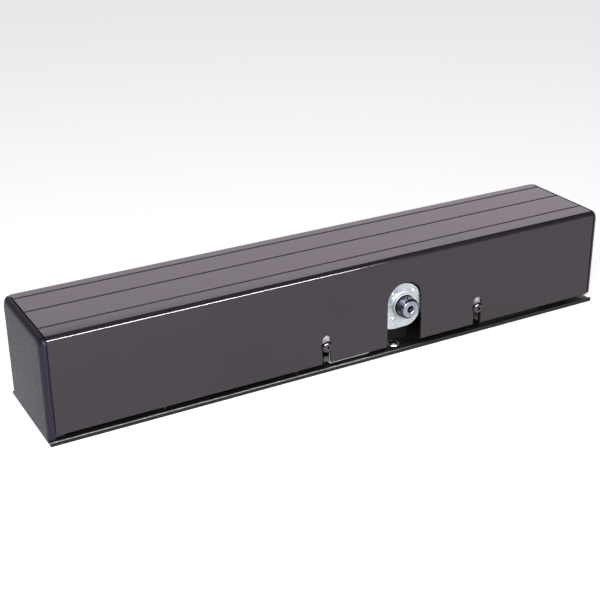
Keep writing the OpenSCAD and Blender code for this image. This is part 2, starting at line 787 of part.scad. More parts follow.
module spindle_pinion() color("#8f9297") {
    difference() {
        translate([spindle_x, pinion_front, spindle_z]) rotate([-90, 0, 0])
            linear_extrude(height = pinion_back - pinion_front)
                rotate(90) gear_outline(pinion_pitch_r, pinion_teeth, tooth_w);
        rod_y(pinion_front - 1, pinion_back + 1, spindle_x, spindle_z, pinion_seat_r + seat_gap);
        key_slot(pinion_front - 1, pinion_back + 1, pinion_seat_r);
    }
}

module housing_screws() color("#1a1a1c") {
    for (p = housing_screw_places) {
        seat_t = p == foot_screw ? foot_t : block_foot_t;
        translate([p[0], p[1], plate_t + seat_t])
            domed_screw(2.9, seat_t + 2.5, 4.8, 3.6);
    }
}

// Spring-return rack

module rack_piston() color("#9da1a6") {
    rack_left = spindle_x - pinion_pitch_r - 4;
    tip_z = rack_z + addendum;
    root_z = rack_z - dedendum;
    half_tip = tooth_w * 0.25;
    half_root = tooth_w * 1.45 / 2;
    difference() {
        rod_x(piston_left, piston_right, piston_y, piston_z, piston_r);
        box(rack_left, piston_right + 1, piston_y - 30, piston_y + 30, root_z, 80);
        rod_x(piston_left - 1, piston_left + 3, piston_y, piston_z, 8);
    }
    for (k = [-2 : 7]) {
        x = spindle_x + (k + 0.5) * tooth_pitch;
        if (x - half_root > rack_left && x + half_root < piston_right)
            translate([x, pinion_back + 1, 0]) rotate([90, 0, 0])
                linear_extrude(height = pinion_back - pinion_front + 2)
                    polygon([[-half_root, root_z - 0.01], [half_root, root_z - 0.01],
                             [half_tip, tip_z], [-half_tip, tip_z]]);
    }
}

// Compression spring between its seat and the piston, with closed end coils
module return_spring() color("#6f747b") {
    steps = 14;
    span = piston_left - (seat_x + seat_t) - 2 * spring_wire_r - 0.2;
    x0 = seat_x + seat_t + spring_wire_r + 0.1;
    n = spring_turns * steps;
    pitched = n - 2 * steps;
    route = [for (i = [0 : n])
        let (
            a = 360 * i / steps,
            run = min(max(i - steps, 0), pitched) / pitched,
            coil = 2 * spring_wire_r + 0.1,
            open_span = span - 2 * coil,
            x = x0 + coil * min(i / steps, 1) + open_span * run
                + coil * max(i - steps - pitched, 0) / steps
        )
        [x, piston_y + spring_r * cos(a), piston_z + spring_r * sin(a)]];
    swept_tube(route, spring_wire_r, 8);
}

module spring_tube() color("#4c4e52") difference() {
    rod_x(tube_left, tube_right, piston_y, piston_z, tube_r);
    rod_x(tube_left - 1, tube_right + 1, piston_y, piston_z, tube_in_r);
}

// Threaded plug in the tube's far end
module spring_end_plug() color("#77797d") difference() {
    union() {
        rod_x(tube_left - 4, tube_left, piston_y, piston_z, tube_r);
        rod_x(tube_left, tube_left + 12, piston_y, piston_z, tube_in_r - 0.05);
    }
    rod_x(tube_left - 5, tube_left + 13, piston_y, piston_z, 5 + screw_gap);
}

module spring_seat() color("#8f9297") {
    rod_x(seat_x, seat_x + seat_t, piston_y, piston_z, 20.5);
}

module preload_screw() color("#9a9a9e") {
    rod_x(tube_left - 20, seat_x, piston_y, piston_z, 5);
    translate([tube_left - 28, piston_y, piston_z]) rotate([0, 90, 0])
        cylinder(h = 8, r = 9, $fn = 6);
}

module piston_end_cap() color("#6a6c70") difference() {
    rod_x(block_right, block_right + 16, piston_y, piston_z, 23.5);
    rod_x(block_right - 1, block_right + 12, piston_y, piston_z, piston_r + 0.5);
}

// Gearmotor

module motor_front_bell() color("#7f8387") difference() {
    rod_x(boss_right, bell_right, motor_y, worm_z, motor_r);
    rod_x(boss_right - 1, bell_right + 1, motor_y, worm_z, worm_shaft_r + 1);
}

module motor_can() color("#3d3f44") difference() {
    rod_x(bell_right, can_right, motor_y, worm_z, motor_r);
    rod_x(bell_right - 1, can_right + 1, motor_y, worm_z, motor_r - 1.6);
}

module motor_magnets() color("#2b2b2e") {
    outer = motor_r - 1.6;
    difference() {
        rod_x(bell_right + 8, can_right - 8, motor_y, worm_z, outer - seat_gap);
        rod_x(bell_right, can_right, motor_y, worm_z, outer - 4.5);
        for (s = [-1, 1])
            box(bell_right, can_right, motor_y - 30, motor_y + 30,
                worm_z + (s > 0 ? 10 : -40), worm_z + (s > 0 ? 40 : -10));
    }
}

module armature() color("#7d4a2c") difference() {
    union() {
        rod_x(bell_right + 12, can_right - 12, motor_y, worm_z, 19.5);
        for (x = [bell_right + 6, can_right - 12]) rod_x(x, x + 6, motor_y, worm_z, 16);
    }
    rod_x(bell_right, can_right, motor_y, worm_z, worm_shaft_r);
    for (k = [0 : 11])
        translate([0, motor_y, worm_z]) rotate([30 * k, 0, 0])
            box(bell_right + 11, can_right - 11, -0.9, 0.9, 17.5, 22);
}

module commutator() color("#b5764a") difference() {
    rod_x(can_right - 5, can_right + 9, motor_y, worm_z, 9);
    rod_x(can_right - 6, can_right + 10, motor_y, worm_z, worm_shaft_r);
}

module motor_rear_cap() color("#26272a") difference() {
    rod_x(can_right, rear_cap_right, motor_y, worm_z, motor_r);
    rod_x(can_right - 1, rear_cap_right - 5, motor_y, worm_z, motor_r - 3);
    rod_x(can_right, rear_cap_right + 1, motor_y, worm_z, worm_shaft_r + 0.6);
    for (s = [-1, 1])
        translate([can_right + 2, motor_y + (s > 0 ? 8 : -32), worm_z - 3.05])
            cube([6.1, 24, 6.1]);
}

// Two carbon brushes that press on the commutator from front and back
module motor_brushes() color("#1f1f21") {
    for (s = [-1, 1])
        translate([can_right + 2.05, motor_y + (s > 0 ? 9.4 : -25.4), worm_z - 3])
            cube([6, 16, 6]);
}

module encoder_disc() color("#cfd3d6") difference() {
    rod_x(encoder_x - 1, encoder_x + 1, motor_y, worm_z, 16);
    rod_x(encoder_x - 2, encoder_x + 2, motor_y, worm_z, worm_shaft_r);
    for (k = [0 : 11])
        translate([0, motor_y, worm_z]) rotate([30 * k, 0, 0])
            box(encoder_x - 2, encoder_x + 2, -1.5, 1.5, 11, 14);
}

module encoder_board() color("#1f5a38") {
    difference() {
        box(board_x, board_x + 1.6, motor_y - 20, motor_y + 20, worm_z - 20, worm_z + 20);
        for (y = [-15, 15]) rod_x(board_x - 1, board_x + 3, motor_y + y, worm_z + 15, 1.7);
        for (y = [-15, 15]) rod_x(board_x - 1, board_x + 3, motor_y + y, worm_z - 15, 1.7);
    }
    for (y = [-15, 15], z = [-15, 15])
        rod_x(rear_cap_right, board_x + 3, motor_y + y, worm_z + z, 1.7);
}

// Saddle that holds the motor's can up from the back plate
module motor_bracket() color("#8b8e92") difference() {
    union() {
        box(bracket_x, bracket_x + 3, motor_y - 16, motor_y + 16, plate_t, worm_z - 10);
        on_plate(bracket_x, bracket_x + 18, motor_y - 16, motor_y + 16, 3);
    }
    rod_x(bracket_x - 1, bracket_x + 4, motor_y, worm_z, motor_r + seat_gap);
}

// Electronics

module controller_board() color("#1f5a38") difference() {
    box(pcb_left, pcb_right, pcb_front, pcb_back, pcb_z, pcb_top);
    for (p = standoff_places) rod_z(pcb_z - 1, pcb_top + 1, p[0], p[1], 1.6);
}

module board_standoffs() color("#b79a55") {
    for (p = standoff_places) {
        rod_z(plate_t, pcb_z, p[0], p[1], 3);
        rod_z(0.5, plate_t, p[0], p[1], 1.5);
        rod_z(pcb_z, pcb_top, p[0], p[1], 1.5);
        rod_z(pcb_top, pcb_top + 2, p[0], p[1], 2.8);
    }
}

module capacitors() color("#22324f") {
    for (x = [-206, -184]) rod_z(pcb_top, pcb_top + 32, x, -24, 9);
    rod_z(pcb_top, pcb_top + 22, -166, -22, 6.3);
    rod_z(pcb_top, pcb_top + 16, -78, -48, 4);
}

module relays() color("#2f62a8") {
    for (k = [0 : 2]) box(-218 + 22 * k, -200 + 22 * k, -52, -38, pcb_top, pcb_top + 16);
}

module terminal_strips() color("#3f7a3f") {
    strips = [[-138, -90, -52, -42], [-150, -122, -22, -12], [-98, -72, -24, -12]];
    for (s = strips) {
        wide = s[1] - s[0];
        count = floor(wide / 5);
        difference() {
            box(s[0], s[1], s[2], s[3], pcb_top, pcb_top + 11);
            for (k = [0 : count - 1])
                rod_z(pcb_top + 8, pcb_top + 12, s[0] + wide * (k + 0.5) / count,
                    (s[2] + s[3]) / 2, 1.6);
        }
    }
}

module heat_sink() color("#9b9da0") {
    x0 = -146;
    fin_len = 7;
    fin_pitch = 5.5;
    box(x0, x0 + 3, -54, -30, pcb_top, pcb_top + 30);
    for (k = [0 : 4])
        box(x0 - fin_len, x0 + 0.01, -54 + fin_pitch * k, -52 + fin_pitch * k, pcb_top + 6,
            pcb_top + 30);
}

module transformer_core() color("#4a4a4e") {
    difference() {
        union() {
            on_plate(core_left + 8, core_right - 8, -core_y, core_y, core_top - plate_t);
            on_plate(core_left, core_right, -core_y - 10, core_y + 10, 2);
        }
        for (s = [-1, 1])
            box(core_left, core_right, s > 0 ? 9 : -19, s > 0 ? 19 : -9, 16, core_top - 13);
        for (p = core_screw_places) rod_z(plate_t - 1, plate_t + 3, p[0], p[1], 2.1);
    }
}

module transformer_coil() color("#c9a35a") difference() {
    box(core_left + 1, core_right - 1, -18.8, 18.8, 16.2, core_top - 13.2);
    box(core_left + 7.9, core_right - 7.9, -9.1, 9.1, 0, core_top);
}

module transformer_screws() color("#8e9194") {
    for (p = core_screw_places)
        translate([p[0], p[1], plate_t + 2]) cap_screw(2, 4.5, 3.6, 3);
}

module mains_terminal_block() color("#d8d4c8") {
    difference() {
        union() {
            on_plate(272, 312, -24, 24, 18);
            on_plate(280, 304, -20, 20, 25);
        }
        for (k = [-1 : 1]) rod_z(20, 40, 292, 12 * k, 3);
        for (k = [-1 : 1]) rod_x(300, 313, 12 * k, 12, 3);
    }
}

module earth_stud() color("#c5a34a") {
    rod_z(0.5, 16, earth_x, earth_y, 2.5);
    for (z = [plate_t, 8])
        translate([earth_x, earth_y, z]) cylinder(h = 3.2, r = 4.6, $fn = 6);
}

module motor_cable() color("#202124") swept_tube(smooth_route(motor_cable_route, 3), 2.6, 8);
module encoder_cable() color("#5a5c60") swept_tube(smooth_route(encoder_cable_route, 3), 2, 8);
module supply_cable() color("#26282c") swept_tube(smooth_route(supply_cable_route, 3), 3, 8);

back_plate();
cover();
end_cap_left();
end_cap_right();
cover_bracket_left();
cover_bracket_right();
bracket_ear_right();
cover_screws();
mode_switch_body();
mode_rocker();
output_spindle();
output_flange();
seal_retainer();
retainer_screws();
flange_screws();
front_bearing();
gearbox_housing();
gearbox_foot();
worm_wheel();
worm_shaft();
worm_bearings();
worm_end_cover();
piston_housing();
rear_bearing();
rear_bearing_carrier();
carrier_screws();
spindle_pinion();
drive_keys();
housing_screws();
rack_piston();
return_spring();
spring_tube();
spring_end_plug();
spring_seat();
preload_screw();
piston_end_cap();
motor_front_bell();
motor_can();
motor_magnets();
motor_rear_cap();
motor_brushes();
armature();
commutator();
encoder_disc();
encoder_board();
motor_bracket();
controller_board();
board_standoffs();
capacitors();
relays();
terminal_strips();
heat_sink();
transformer_core();
transformer_coil();
transformer_screws();
mains_terminal_block();
earth_stud();
motor_cable();
encoder_cable();
supply_cable();
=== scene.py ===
"""Looks of the swing-door operator: camera, light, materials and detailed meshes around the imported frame."""

import json
import math

import bmesh
import bpy
from mathutils import Matrix, Vector


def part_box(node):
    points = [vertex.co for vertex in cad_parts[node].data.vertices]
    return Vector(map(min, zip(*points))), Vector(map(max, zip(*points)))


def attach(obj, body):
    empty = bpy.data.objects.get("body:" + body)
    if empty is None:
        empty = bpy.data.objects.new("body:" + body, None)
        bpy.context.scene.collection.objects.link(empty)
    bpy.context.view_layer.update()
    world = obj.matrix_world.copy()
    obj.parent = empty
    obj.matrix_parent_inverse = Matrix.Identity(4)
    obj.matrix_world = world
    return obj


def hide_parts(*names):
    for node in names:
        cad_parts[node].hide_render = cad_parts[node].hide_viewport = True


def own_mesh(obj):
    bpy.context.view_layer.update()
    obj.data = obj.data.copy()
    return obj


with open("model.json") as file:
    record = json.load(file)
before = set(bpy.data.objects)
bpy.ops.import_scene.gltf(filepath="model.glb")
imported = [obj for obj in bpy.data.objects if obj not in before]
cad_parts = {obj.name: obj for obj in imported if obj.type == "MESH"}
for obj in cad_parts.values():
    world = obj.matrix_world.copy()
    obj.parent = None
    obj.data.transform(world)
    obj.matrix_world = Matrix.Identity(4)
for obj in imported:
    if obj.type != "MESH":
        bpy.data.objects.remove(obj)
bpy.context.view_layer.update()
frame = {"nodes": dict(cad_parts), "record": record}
MM = 0.001


# ---------------------------------------------------------------- sizes, in millimetres


def box_mm(node):
    """Lowest and highest corner of a CAD node, in millimetres."""
    low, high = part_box(node)
    return [c / MM for c in low], [c / MM for c in high]


def joint(name):
    """A joint's entry in the record."""
    return next(j for j in frame["record"]["behaviour"]["joints"] if j["name"] == name)


COVER_X, COVER_Y, COVER_TOP = box_mm("cover")[1]
COVER_BOTTOM = box_mm("cover")[0][2]
HEADER_X = box_mm("end_cap_right")[1][0]
SPINDLE_X, _, SPINDLE_Z = (place / MM for place in joint("spindle_turn")["pos_m"])
SPINDLE_END = box_mm("output_spindle")[0][1]
SPINDLE_TIP = 12.3  # radius over the serrations
_, WORM_Y, WORM_Z = (place / MM for place in joint("worm_turn")["pos_m"])
BOARD_TOP = box_mm("controller_board")[1][2]
SCREW_PITCH = 104  # from the spindle to each of the cover's screws
WALL = 2.5  # thickness of the cover's walls
CORNER_RADIUS = 5.5  # outside, along the cover's upper corners
GROOVES = (-36.6, 7.6, 45.2)  # where grooves run along the cover's top, in y
GROOVE_HALF, GROOVE_LIP, GROOVE_DEPTH = 1.25, 0.18, 1.7
SHARP_ANGLE = 35  # degrees; edges that turn more are sharp, and are bevelled
CORNERS = ((-1, -1), (1, -1), (1, 1), (-1, 1))


# ---------------------------------------------------------------- camera, floor and light


CAMERA_PLACE = (-0.6442, -1.1197, 0.6479)
CAMERA_ANGLES = (-28.744, 24.623, -0.603)  # azimuth, elevation and roll, in degrees
LENS_MM = 73.2


def add_camera():
    """Long lens, from the front left and above, turned a little clockwise."""
    azimuth, elevation, roll = (math.radians(a) for a in CAMERA_ANGLES)
    back = Vector((math.sin(azimuth) * math.cos(elevation), -math.cos(azimuth) * math.cos(elevation),
                   math.sin(elevation)))
    level = (-back).cross(Vector((0, 0, 1))).normalized()
    upright = level.cross(-back)
    right = math.cos(roll) * level + math.sin(roll) * upright
    up = math.cos(roll) * upright - math.sin(roll) * level
    data = bpy.data.cameras.new("camera")
    data.lens = LENS_MM
    data.sensor_width = 36
    data.clip_start = 0.01
    camera = bpy.data.objects.new("camera", data)
    turn = Matrix((right, up, back)).transposed().to_4x4()
    camera.matrix_world = Matrix.Translation(CAMERA_PLACE) @ turn
    bpy.context.scene.collection.objects.link(camera)
    bpy.context.scene.camera = camera


def add_area_light(name, place, target, width, height, power, only_gloss=False):
    """A soft box; one that is only for gloss shows in reflections and lights nothing else."""
    data = bpy.data.lights.new(name, "AREA")
    data.shape = "RECTANGLE"
    data.size = width
    data.size_y = height
    data.energy = power
    light = bpy.data.objects.new(name, data)
    light.location = place
    aim = Vector(target) - Vector(place)
    light.rotation_euler = aim.to_track_quat("-Z", "Y").to_euler()
    light.visible_diffuse = not only_gloss
    bpy.context.scene.collection.objects.link(light)


FLOOR_HALF = 6  # metres
FLOOR_GLOW = 0.62


def add_floor():
    """White paper that glows, so that it stays white under the object as in a light tent."""
    mesh = bpy.data.meshes.new("floor")
    corners = [(x * FLOOR_HALF, y * FLOOR_HALF, 0) for x, y in CORNERS]
    mesh.from_pydata(corners, [], [(0, 1, 2, 3)])
    floor = bpy.data.objects.new("floor", mesh)
    bpy.context.scene.collection.objects.link(floor)
    material = bpy.data.materials.new("floor_paper")
    material.use_nodes = True
    shader = material.node_tree.nodes["Principled BSDF"]
    shader.inputs["Base Color"].default_value = (0.8, 0.8, 0.8, 1)
    shader.inputs["Roughness"].default_value = 0.9
    shader.inputs["Specular IOR Level"].default_value = 0.1
    shader.inputs["Emission Color"].default_value = (1, 1, 1, 1)
    shader.inputs["Emission Strength"].default_value = FLOOR_GLOW
    mesh.materials.append(material)


FRONT_LEVEL = 0.05  # how bright the studio is in front, against 1 at the back
LEFT_LEVEL = 0.15  # and at the left, against 1 at the right
STUDIO_STRENGTH = 2.0
STUDIO_GREEN = 0.96  # share of green in the studio's grey


def add_world():
    """A studio that is bright low down at the back right, and dark overhead, in front and at the left."""
    world = bpy.data.worlds.new("studio")
    world.use_nodes = True
    tree = world.node_tree
    background = tree.nodes["Background"]

    def ramp(source, *stops):
        """A grey that runs through stops of (place, brightness)."""
        made = tree.nodes.new("ShaderNodeValToRGB")
        elements = made.color_ramp.elements
        while len(elements) < len(stops):
            elements.new(0.5)
        for element, (place, value) in zip(elements, stops):
            element.position = place
            element.color = (value, value * STUDIO_GREEN, value, 1)
        tree.links.new(source, made.inputs["Fac"])
        return made.outputs["Color"]

    coordinates = tree.nodes.new("ShaderNodeTexCoord")
    split = tree.nodes.new("ShaderNodeSeparateXYZ")
    tree.links.new(coordinates.outputs["Generated"], split.inputs["Vector"])

    def half_up(axis, scale):
        """A direction's share along an axis, scaled and moved up by a half, for a ramp."""
        made = tree.nodes.new("ShaderNodeMath")
        made.operation = "MULTIPLY_ADD"
        made.inputs[1].default_value = scale
        made.inputs[2].default_value = 0.5
        tree.links.new(split.outputs[axis], made.inputs[0])
        return made.outputs["Value"]

    by_height = ramp(split.outputs["Z"], (0.0, 0.74), (0.34, 0.76), (0.45, 0.9), (0.53, 0.12),
                     (0.62, 0.03), (1.0, 0.02))
    by_depth = ramp(half_up("Y", 0.5), (0.0, FRONT_LEVEL), (0.42, FRONT_LEVEL), (0.6, 1.0))
    by_side = ramp(half_up("X", 1.0), (0.0, LEFT_LEVEL), (0.2, LEFT_LEVEL), (0.62, 1.0))

    def times(first, second):
        product = tree.nodes.new("ShaderNodeMixRGB")
        product.blend_type = "MULTIPLY"
        product.inputs["Fac"].default_value = 1
        tree.links.new(first, product.inputs["Color1"])
        tree.links.new(second, product.inputs["Color2"])
        return product.outputs["Color"]

    tree.links.new(times(times(by_height, by_depth), by_side), background.inputs["Color"])
    background.inputs["Strength"].default_value = STUDIO_STRENGTH
    bpy.context.scene.world = world


add_camera()
add_world()
add_floor()
# the strip whose reflection runs along the cover's front edge, and two soft boxes
add_area_light("edge_light", (0.15, -1.86, 0.96), (0.15, -0.06, 0.1), 1.9, 0.24, 150, only_gloss=True)
add_area_light("front_light", (-0.9, -1.7, 1.3), (-0.2, -0.06, 0.1), 1.2, 0.5, 30)
add_area_light("left_light", (-0.9, -1.3, 1.5), (-0.2, -0.1, 0), 0.7, 0.7, 16)
bpy.context.scene.view_settings.view_transform = "Standard"


# ---------------------------------------------------------------- materials

MATERIALS = {}


class Surface:
    """A Principled material whose colour, roughness and relief vary with noise over the object."""

    def __init__(self, name, metallic=0.0):
        self.material = bpy.data.materials.new(name)
        self.material.use_nodes = True
        self.tree = self.material.node_tree
        self.shader = self.tree.nodes["Principled BSDF"]
        self.shader.inputs["Metallic"].default_value = metallic
        self.place = self.tree.nodes.new("ShaderNodeTexCoord").outputs["Object"]
        self.normal = None
        MATERIALS[name] = self.material

    def node(self, kind, **values):
        """A node with those values in its sockets."""
        made = self.tree.nodes.new(kind)
        for name, value in values.items():
            made.inputs[name.replace("_", " ")].default_value = value
        return made

    def noise(self, scale, detail=4.0, stretch=None):
        """Noise of that many cells per metre; stretch divides the scale along each axis."""
        texture = self.node("ShaderNodeTexNoise", Scale=scale, Detail=detail, Roughness=0.55)
        source = self.place
        if stretch:
            mapping = self.tree.nodes.new("ShaderNodeMapping")
            mapping.inputs["Scale"].default_value = [1 / s for s in stretch]
            self.tree.links.new(source, mapping.inputs["Vector"])
            source = mapping.outputs["Vector"]
        self.tree.links.new(source, texture.inputs["Vector"])
        return texture.outputs["Fac"]

    def colours(self, factor, *stops):
        """Colour from stops of (place, linear colour)."""
        ramp = self.tree.nodes.new("ShaderNodeValToRGB")
        elements = ramp.color_ramp.elements
        while len(elements) < len(stops):
            elements.new(0.5)
        for element, (place, colour) in zip(elements, stops):
            element.position = place
            element.color = (*colour, 1)
        self.tree.links.new(factor, ramp.inputs["Fac"])
        self.tree.links.new(ramp.outputs["Color"], self.shader.inputs["Base Color"])

    def roughness(self, factor, low, high):
        """Roughness between low and high, as the noise goes."""
        spread = self.node("ShaderNodeMapRange", From_Min=0.3, From_Max=0.7, To_Min=low, To_Max=high)
        self.tree.links.new(factor, spread.inputs["Value"])
        self.tree.links.new(spread.outputs["Result"], self.shader.inputs["Roughness"])

    def relief(self, factor, depth_mm):
        """Adds bumps of that depth on top of the relief so far."""
        bump = self.node("ShaderNodeBump", Strength=1.0, Distance=depth_mm * MM)
        self.tree.links.new(factor, bump.inputs["Height"])
        if self.normal:
            self.tree.links.new(self.normal, bump.inputs["Normal"])
        self.normal = bump.outputs["Normal"]
        self.tree.links.new(self.normal, self.shader.inputs["Normal"])


def shades(colour, low=0.88, high=1.12):
    """Darker and lighter stops around one colour."""
    dark = tuple(c * low for c in colour)
    light = tuple(min(c * high, 1) for c in colour)
    return (0.3, dark), (0.7, light)


def drawn_metal(name, colour, metallic, rough):
    """Extruded or rolled metal with fine streaks along X."""
    s = Surface(name, metallic=metallic)
    streaks = s.noise(900, detail=3, stretch=(60, 1, 1))
    cloud = s.noise(9, detail=3)
    s.colours(cloud, *shades(colour, 0.93, 1.07))
    s.roughness(streaks, rough * 0.85, rough * 1.15)
    s.relief(streaks, 0.006)


def powder_coat(name, colour, rough):
    """Paint with a fine orange-peel relief."""
    s = Surface(name)
    s.colours(s.noise(40, detail=5), *shades(colour))
    s.roughness(s.noise(120), rough * 0.85, rough * 1.2)
    s.relief(s.noise(1400, detail=2), 0.03)
    s.relief(s.noise(260, detail=2), 0.02)


def moulded_plastic(name, colour, rough, grain=0.02):
    """Plastic with a grain of that depth in millimetres."""
    s = Surface(name)
    s.colours(s.noise(25, detail=3), *shades(colour, 0.95, 1.05))
    s.roughness(s.noise(200), rough * 0.9, rough * 1.15)
    s.relief(s.noise(2200, detail=2), grain)


def plated_metal(name, colour, rough):
    """Bright plating with faint cloudiness and fine scratches."""
    s = Surface(name, metallic=1.0)
    s.colours(s.noise(120, detail=8), *shades(colour, 0.84, 1.1))
    s.roughness(s.noise(160, detail=4), rough * 0.7, rough * 1.4)
    s.relief(s.noise(1500, detail=3, stretch=(1, 1, 12)), 0.004)


def cast_metal(name, colour, rough=0.55):
    """Metal with the pitted skin of a casting."""
    s = Surface(name, metallic=0.85)
    s.colours(s.noise(60, detail=6), *shades(colour, 0.85, 1.1))
    s.roughness(s.noise(90), rough * 0.85, rough * 1.2)
    s.relief(s.noise(700, detail=3), 0.05)
    s.relief(s.noise(110, detail=3), 0.06)


def turned_metal(name, colour, rough):
    """Bare machined metal."""
    s = Surface(name, metallic=1.0)
    s.colours(s.noise(70, detail=5), *shades(colour, 0.9, 1.08))
    s.roughness(s.noise(500, detail=3), rough * 0.75, rough * 1.3)
    s.relief(s.noise(2600, detail=2), 0.003)


drawn_metal("cover_anodised", (0.0265, 0.0215, 0.026), 0.0, 0.125)
moulded_plastic("cap_plastic", (0.0068, 0.0064, 0.012), 0.48, 0.006)
powder_coat("plate_black", (0.009, 0.009, 0.0095), 0.3)
drawn_metal("bracket_zinc", (0.5, 0.49, 0.52), 0.4, 0.42)
powder_coat("bracket_black", (0.005, 0.005, 0.0055), 0.6)
turned_metal("screw_black", (0.075, 0.072, 0.078), 0.2)
plated_metal("zinc_bright", (0.47, 0.51, 0.54), 0.31)
turned_metal("spindle_steel", (0.1, 0.105, 0.14), 0.28)
turned_metal("bearing_steel", (0.62, 0.63, 0.66), 0.2)
cast_metal("cast_grey", (0.33, 0.335, 0.345))
turned_metal("bronze", (0.62, 0.4, 0.17), 0.3)
turned_metal("machined_steel", (0.45, 0.46, 0.48), 0.28)
plated_metal("screw_zinc", (0.62, 0.64, 0.66), 0.3)
turned_metal("spring_steel", (0.29, 0.3, 0.36), 0.3)
powder_coat("tube_steel", (0.06, 0.064, 0.07), 0.4)
powder_coat("motor_paint", (0.045, 0.048, 0.055), 0.35)
cast_metal("magnet", (0.05, 0.05, 0.055), 0.6)
moulded_plastic("brush_carbon", (0.02, 0.02, 0.02), 0.7, 0.03)
turned_metal("lamination", (0.17, 0.16, 0.16), 0.45)
turned_metal("copper", (0.7, 0.33, 0.17), 0.3)
moulded_plastic("plastic_black", (0.02, 0.02, 0.023), 0.45)
moulded_plastic("rocker_red", (0.42, 0.015, 0.018), 0.25, 0.004)
moulded_plastic("pcb_green", (0.012, 0.11, 0.045), 0.35, 0.004)
moulded_plastic("capacitor_sleeve", (0.018, 0.03, 0.085), 0.22, 0.004)
moulded_plastic("relay_blue", (0.03, 0.14, 0.4), 0.3, 0.006)
moulded_plastic("terminal_green", (0.05, 0.2, 0.06), 0.45)
drawn_metal("aluminium_bare", (0.6, 0.61, 0.63), 1.0, 0.35)
moulded_plastic("coil_tape", (0.55, 0.36, 0.08), 0.35, 0.03)
moulded_plastic("terminal_ivory", (0.62, 0.6, 0.53), 0.45)
turned_metal("brass", (0.72, 0.5, 0.2), 0.3)
moulded_plastic("cable_black", (0.02, 0.02, 0.022), 0.5)
moulded_plastic("cable_grey", (0.11, 0.115, 0.125), 0.5)

# weaker or tinted gloss, the same all over each surface: (specular level, tint)
GLOSS = {"cover_anodised": (0.42, (1.0, 0.93, 1.0)), "cap_plastic": (0.4, (0.76, 0.7, 1.0)),
         "bracket_black": (0.1, (1, 1, 1)), "plate_black": (0.22, (1, 1, 1))}
for slot_name, (level, tint) in GLOSS.items():
    glossy = MATERIALS[slot_name].node_tree.nodes["Principled BSDF"]
    glossy.inputs["Specular IOR Level"].default_value = level
    glossy.inputs["Specular Tint"].default_value = (*tint, 1)


def object_axes(tree):
    """Sockets X, Y and Z of a place on the object, in metres."""
    split = tree.nodes.new("ShaderNodeSeparateXYZ")
    coordinates = tree.nodes.new("ShaderNodeTexCoord")
    tree.links.new(coordinates.outputs["Object"], split.inputs["Vector"])
    return split.outputs


RIM_Z = (4.1, 4.5)  # painted highlight: the black paint gives way to a bright steel colour from the first height to the second
RIM_X = (100, 10)  # and from the first place along the rim to the second, so the painted highlight is strongest towards the left end
# colour of the painted highlight along the rim's top
RIM_HIGHLIGHT_STEEL = (0.5, 0.5, 0.51, 1)


def paint_rim_highlight():
    """Paints a highlight along the top of the back plate's raised front rim: a bright steel colour, strongest
    towards its left end.
    """
    coat = MATERIALS["plate_black"].node_tree
    shader = coat.nodes["Principled BSDF"]
    axes = object_axes(coat)

    def band(axis, start, stop):
        spread = coat.nodes.new("ShaderNodeMapRange")
        spread.inputs["From Min"].default_value = start * MM
        spread.inputs["From Max"].default_value = stop * MM
        coat.links.new(axes[axis], spread.inputs["Value"])
        return spread.outputs["Result"]

    product = coat.nodes.new("ShaderNodeMath")
    product.operation = "MULTIPLY"
    coat.links.new(band("Z", *RIM_Z), product.inputs[0])
    coat.links.new(band("X", *RIM_X), product.inputs[1])
    # painted highlight: bright metallic steel is mixed into the paint's colour where both bands reach
    paint = shader.inputs["Base Color"].links[0].from_socket
    mix = coat.nodes.new("ShaderNodeMixRGB")
    mix.inputs["Color2"].default_value = RIM_HIGHLIGHT_STEEL
    coat.links.new(product.outputs["Value"], mix.inputs["Fac"])
    coat.links.new(paint, mix.inputs["Color1"])
    coat.links.new(mix.outputs["Color"], shader.inputs["Base Color"])
    coat.links.new(product.outputs["Value"], shader.inputs["Metallic"])


paint_rim_highlight()

DULL_HALF, GLOSSY_HALF = 1.45, 1.85  # dull up to the first distance from a groove, glossy from the second


def dark_grooves():
    """The cover's grooves and their lips are dull, so that they stay dark under the strip light."""
    coat = MATERIALS["cover_anodised"].node_tree
    axes = object_axes(coat)

    def math_node(operation, first, second):
        """The operation on two values, each a number or a socket."""
        made = coat.nodes.new("ShaderNodeMath")
        made.operation = operation
        for socket, value in zip(made.inputs, (first, second)):
            if isinstance(value, float):
                socket.default_value = value
            else:
                coat.links.new(value, socket)
        return made.outputs["Value"]

    nearest = 1.0
    for groove in GROOVES:
        away = math_node("ABSOLUTE", math_node("SUBTRACT", axes["Y"], groove * MM), 0.0)
        nearest = math_node("MINIMUM", away, nearest)
    dull = coat.nodes.new("ShaderNodeMapRange")
    for name, value in (("From Min", DULL_HALF * MM), ("From Max", GLOSSY_HALF * MM), ("To Min", 1.0),
                        ("To Max", 0.0)):
        dull.inputs[name].default_value = value
    coat.links.new(nearest, dull.inputs["Value"])
    rough = coat.nodes["Principled BSDF"].inputs["Roughness"]
    coat.links.new(math_node("MAXIMUM", rough.links[0].from_socket, dull.outputs["Result"]), rough)


dark_grooves()


# ---------------------------------------------------------------- mesh tools, in millimetres

AXES = {"x": (0, 1, 2), "y": (1, 0, 2), "z": (2, 0, 1)}


def point(axis, along, u, v):
    """A point at that distance along an axis; u and v run along the other two axes."""
    place = [0.0, 0.0, 0.0]
    for index, value in zip(AXES[axis], (along, u, v)):
        place[index] = value
    return place


def loft(bm, rings, closed_ends=True):
    """Joins rings that have the same number of points, and closes the first and last."""
    made = [[bm.verts.new(p) for p in ring] for ring in rings]
    count = len(made[0])
    for a, b in zip(made, made[1:]):
        for k in range(count):
            bm.faces.new((a[k], a[(k + 1) % count], b[(k + 1) % count], b[k]))
    if closed_ends:
        bm.faces.new(made[0][::-1])
        bm.faces.new(made[-1])


def prism(bm, axis, start, stop, outline):
    """An outline of (u, v) pushed along an axis."""
    loft(bm, [[point(axis, along, u, v) for u, v in outline] for along in (start, stop)])


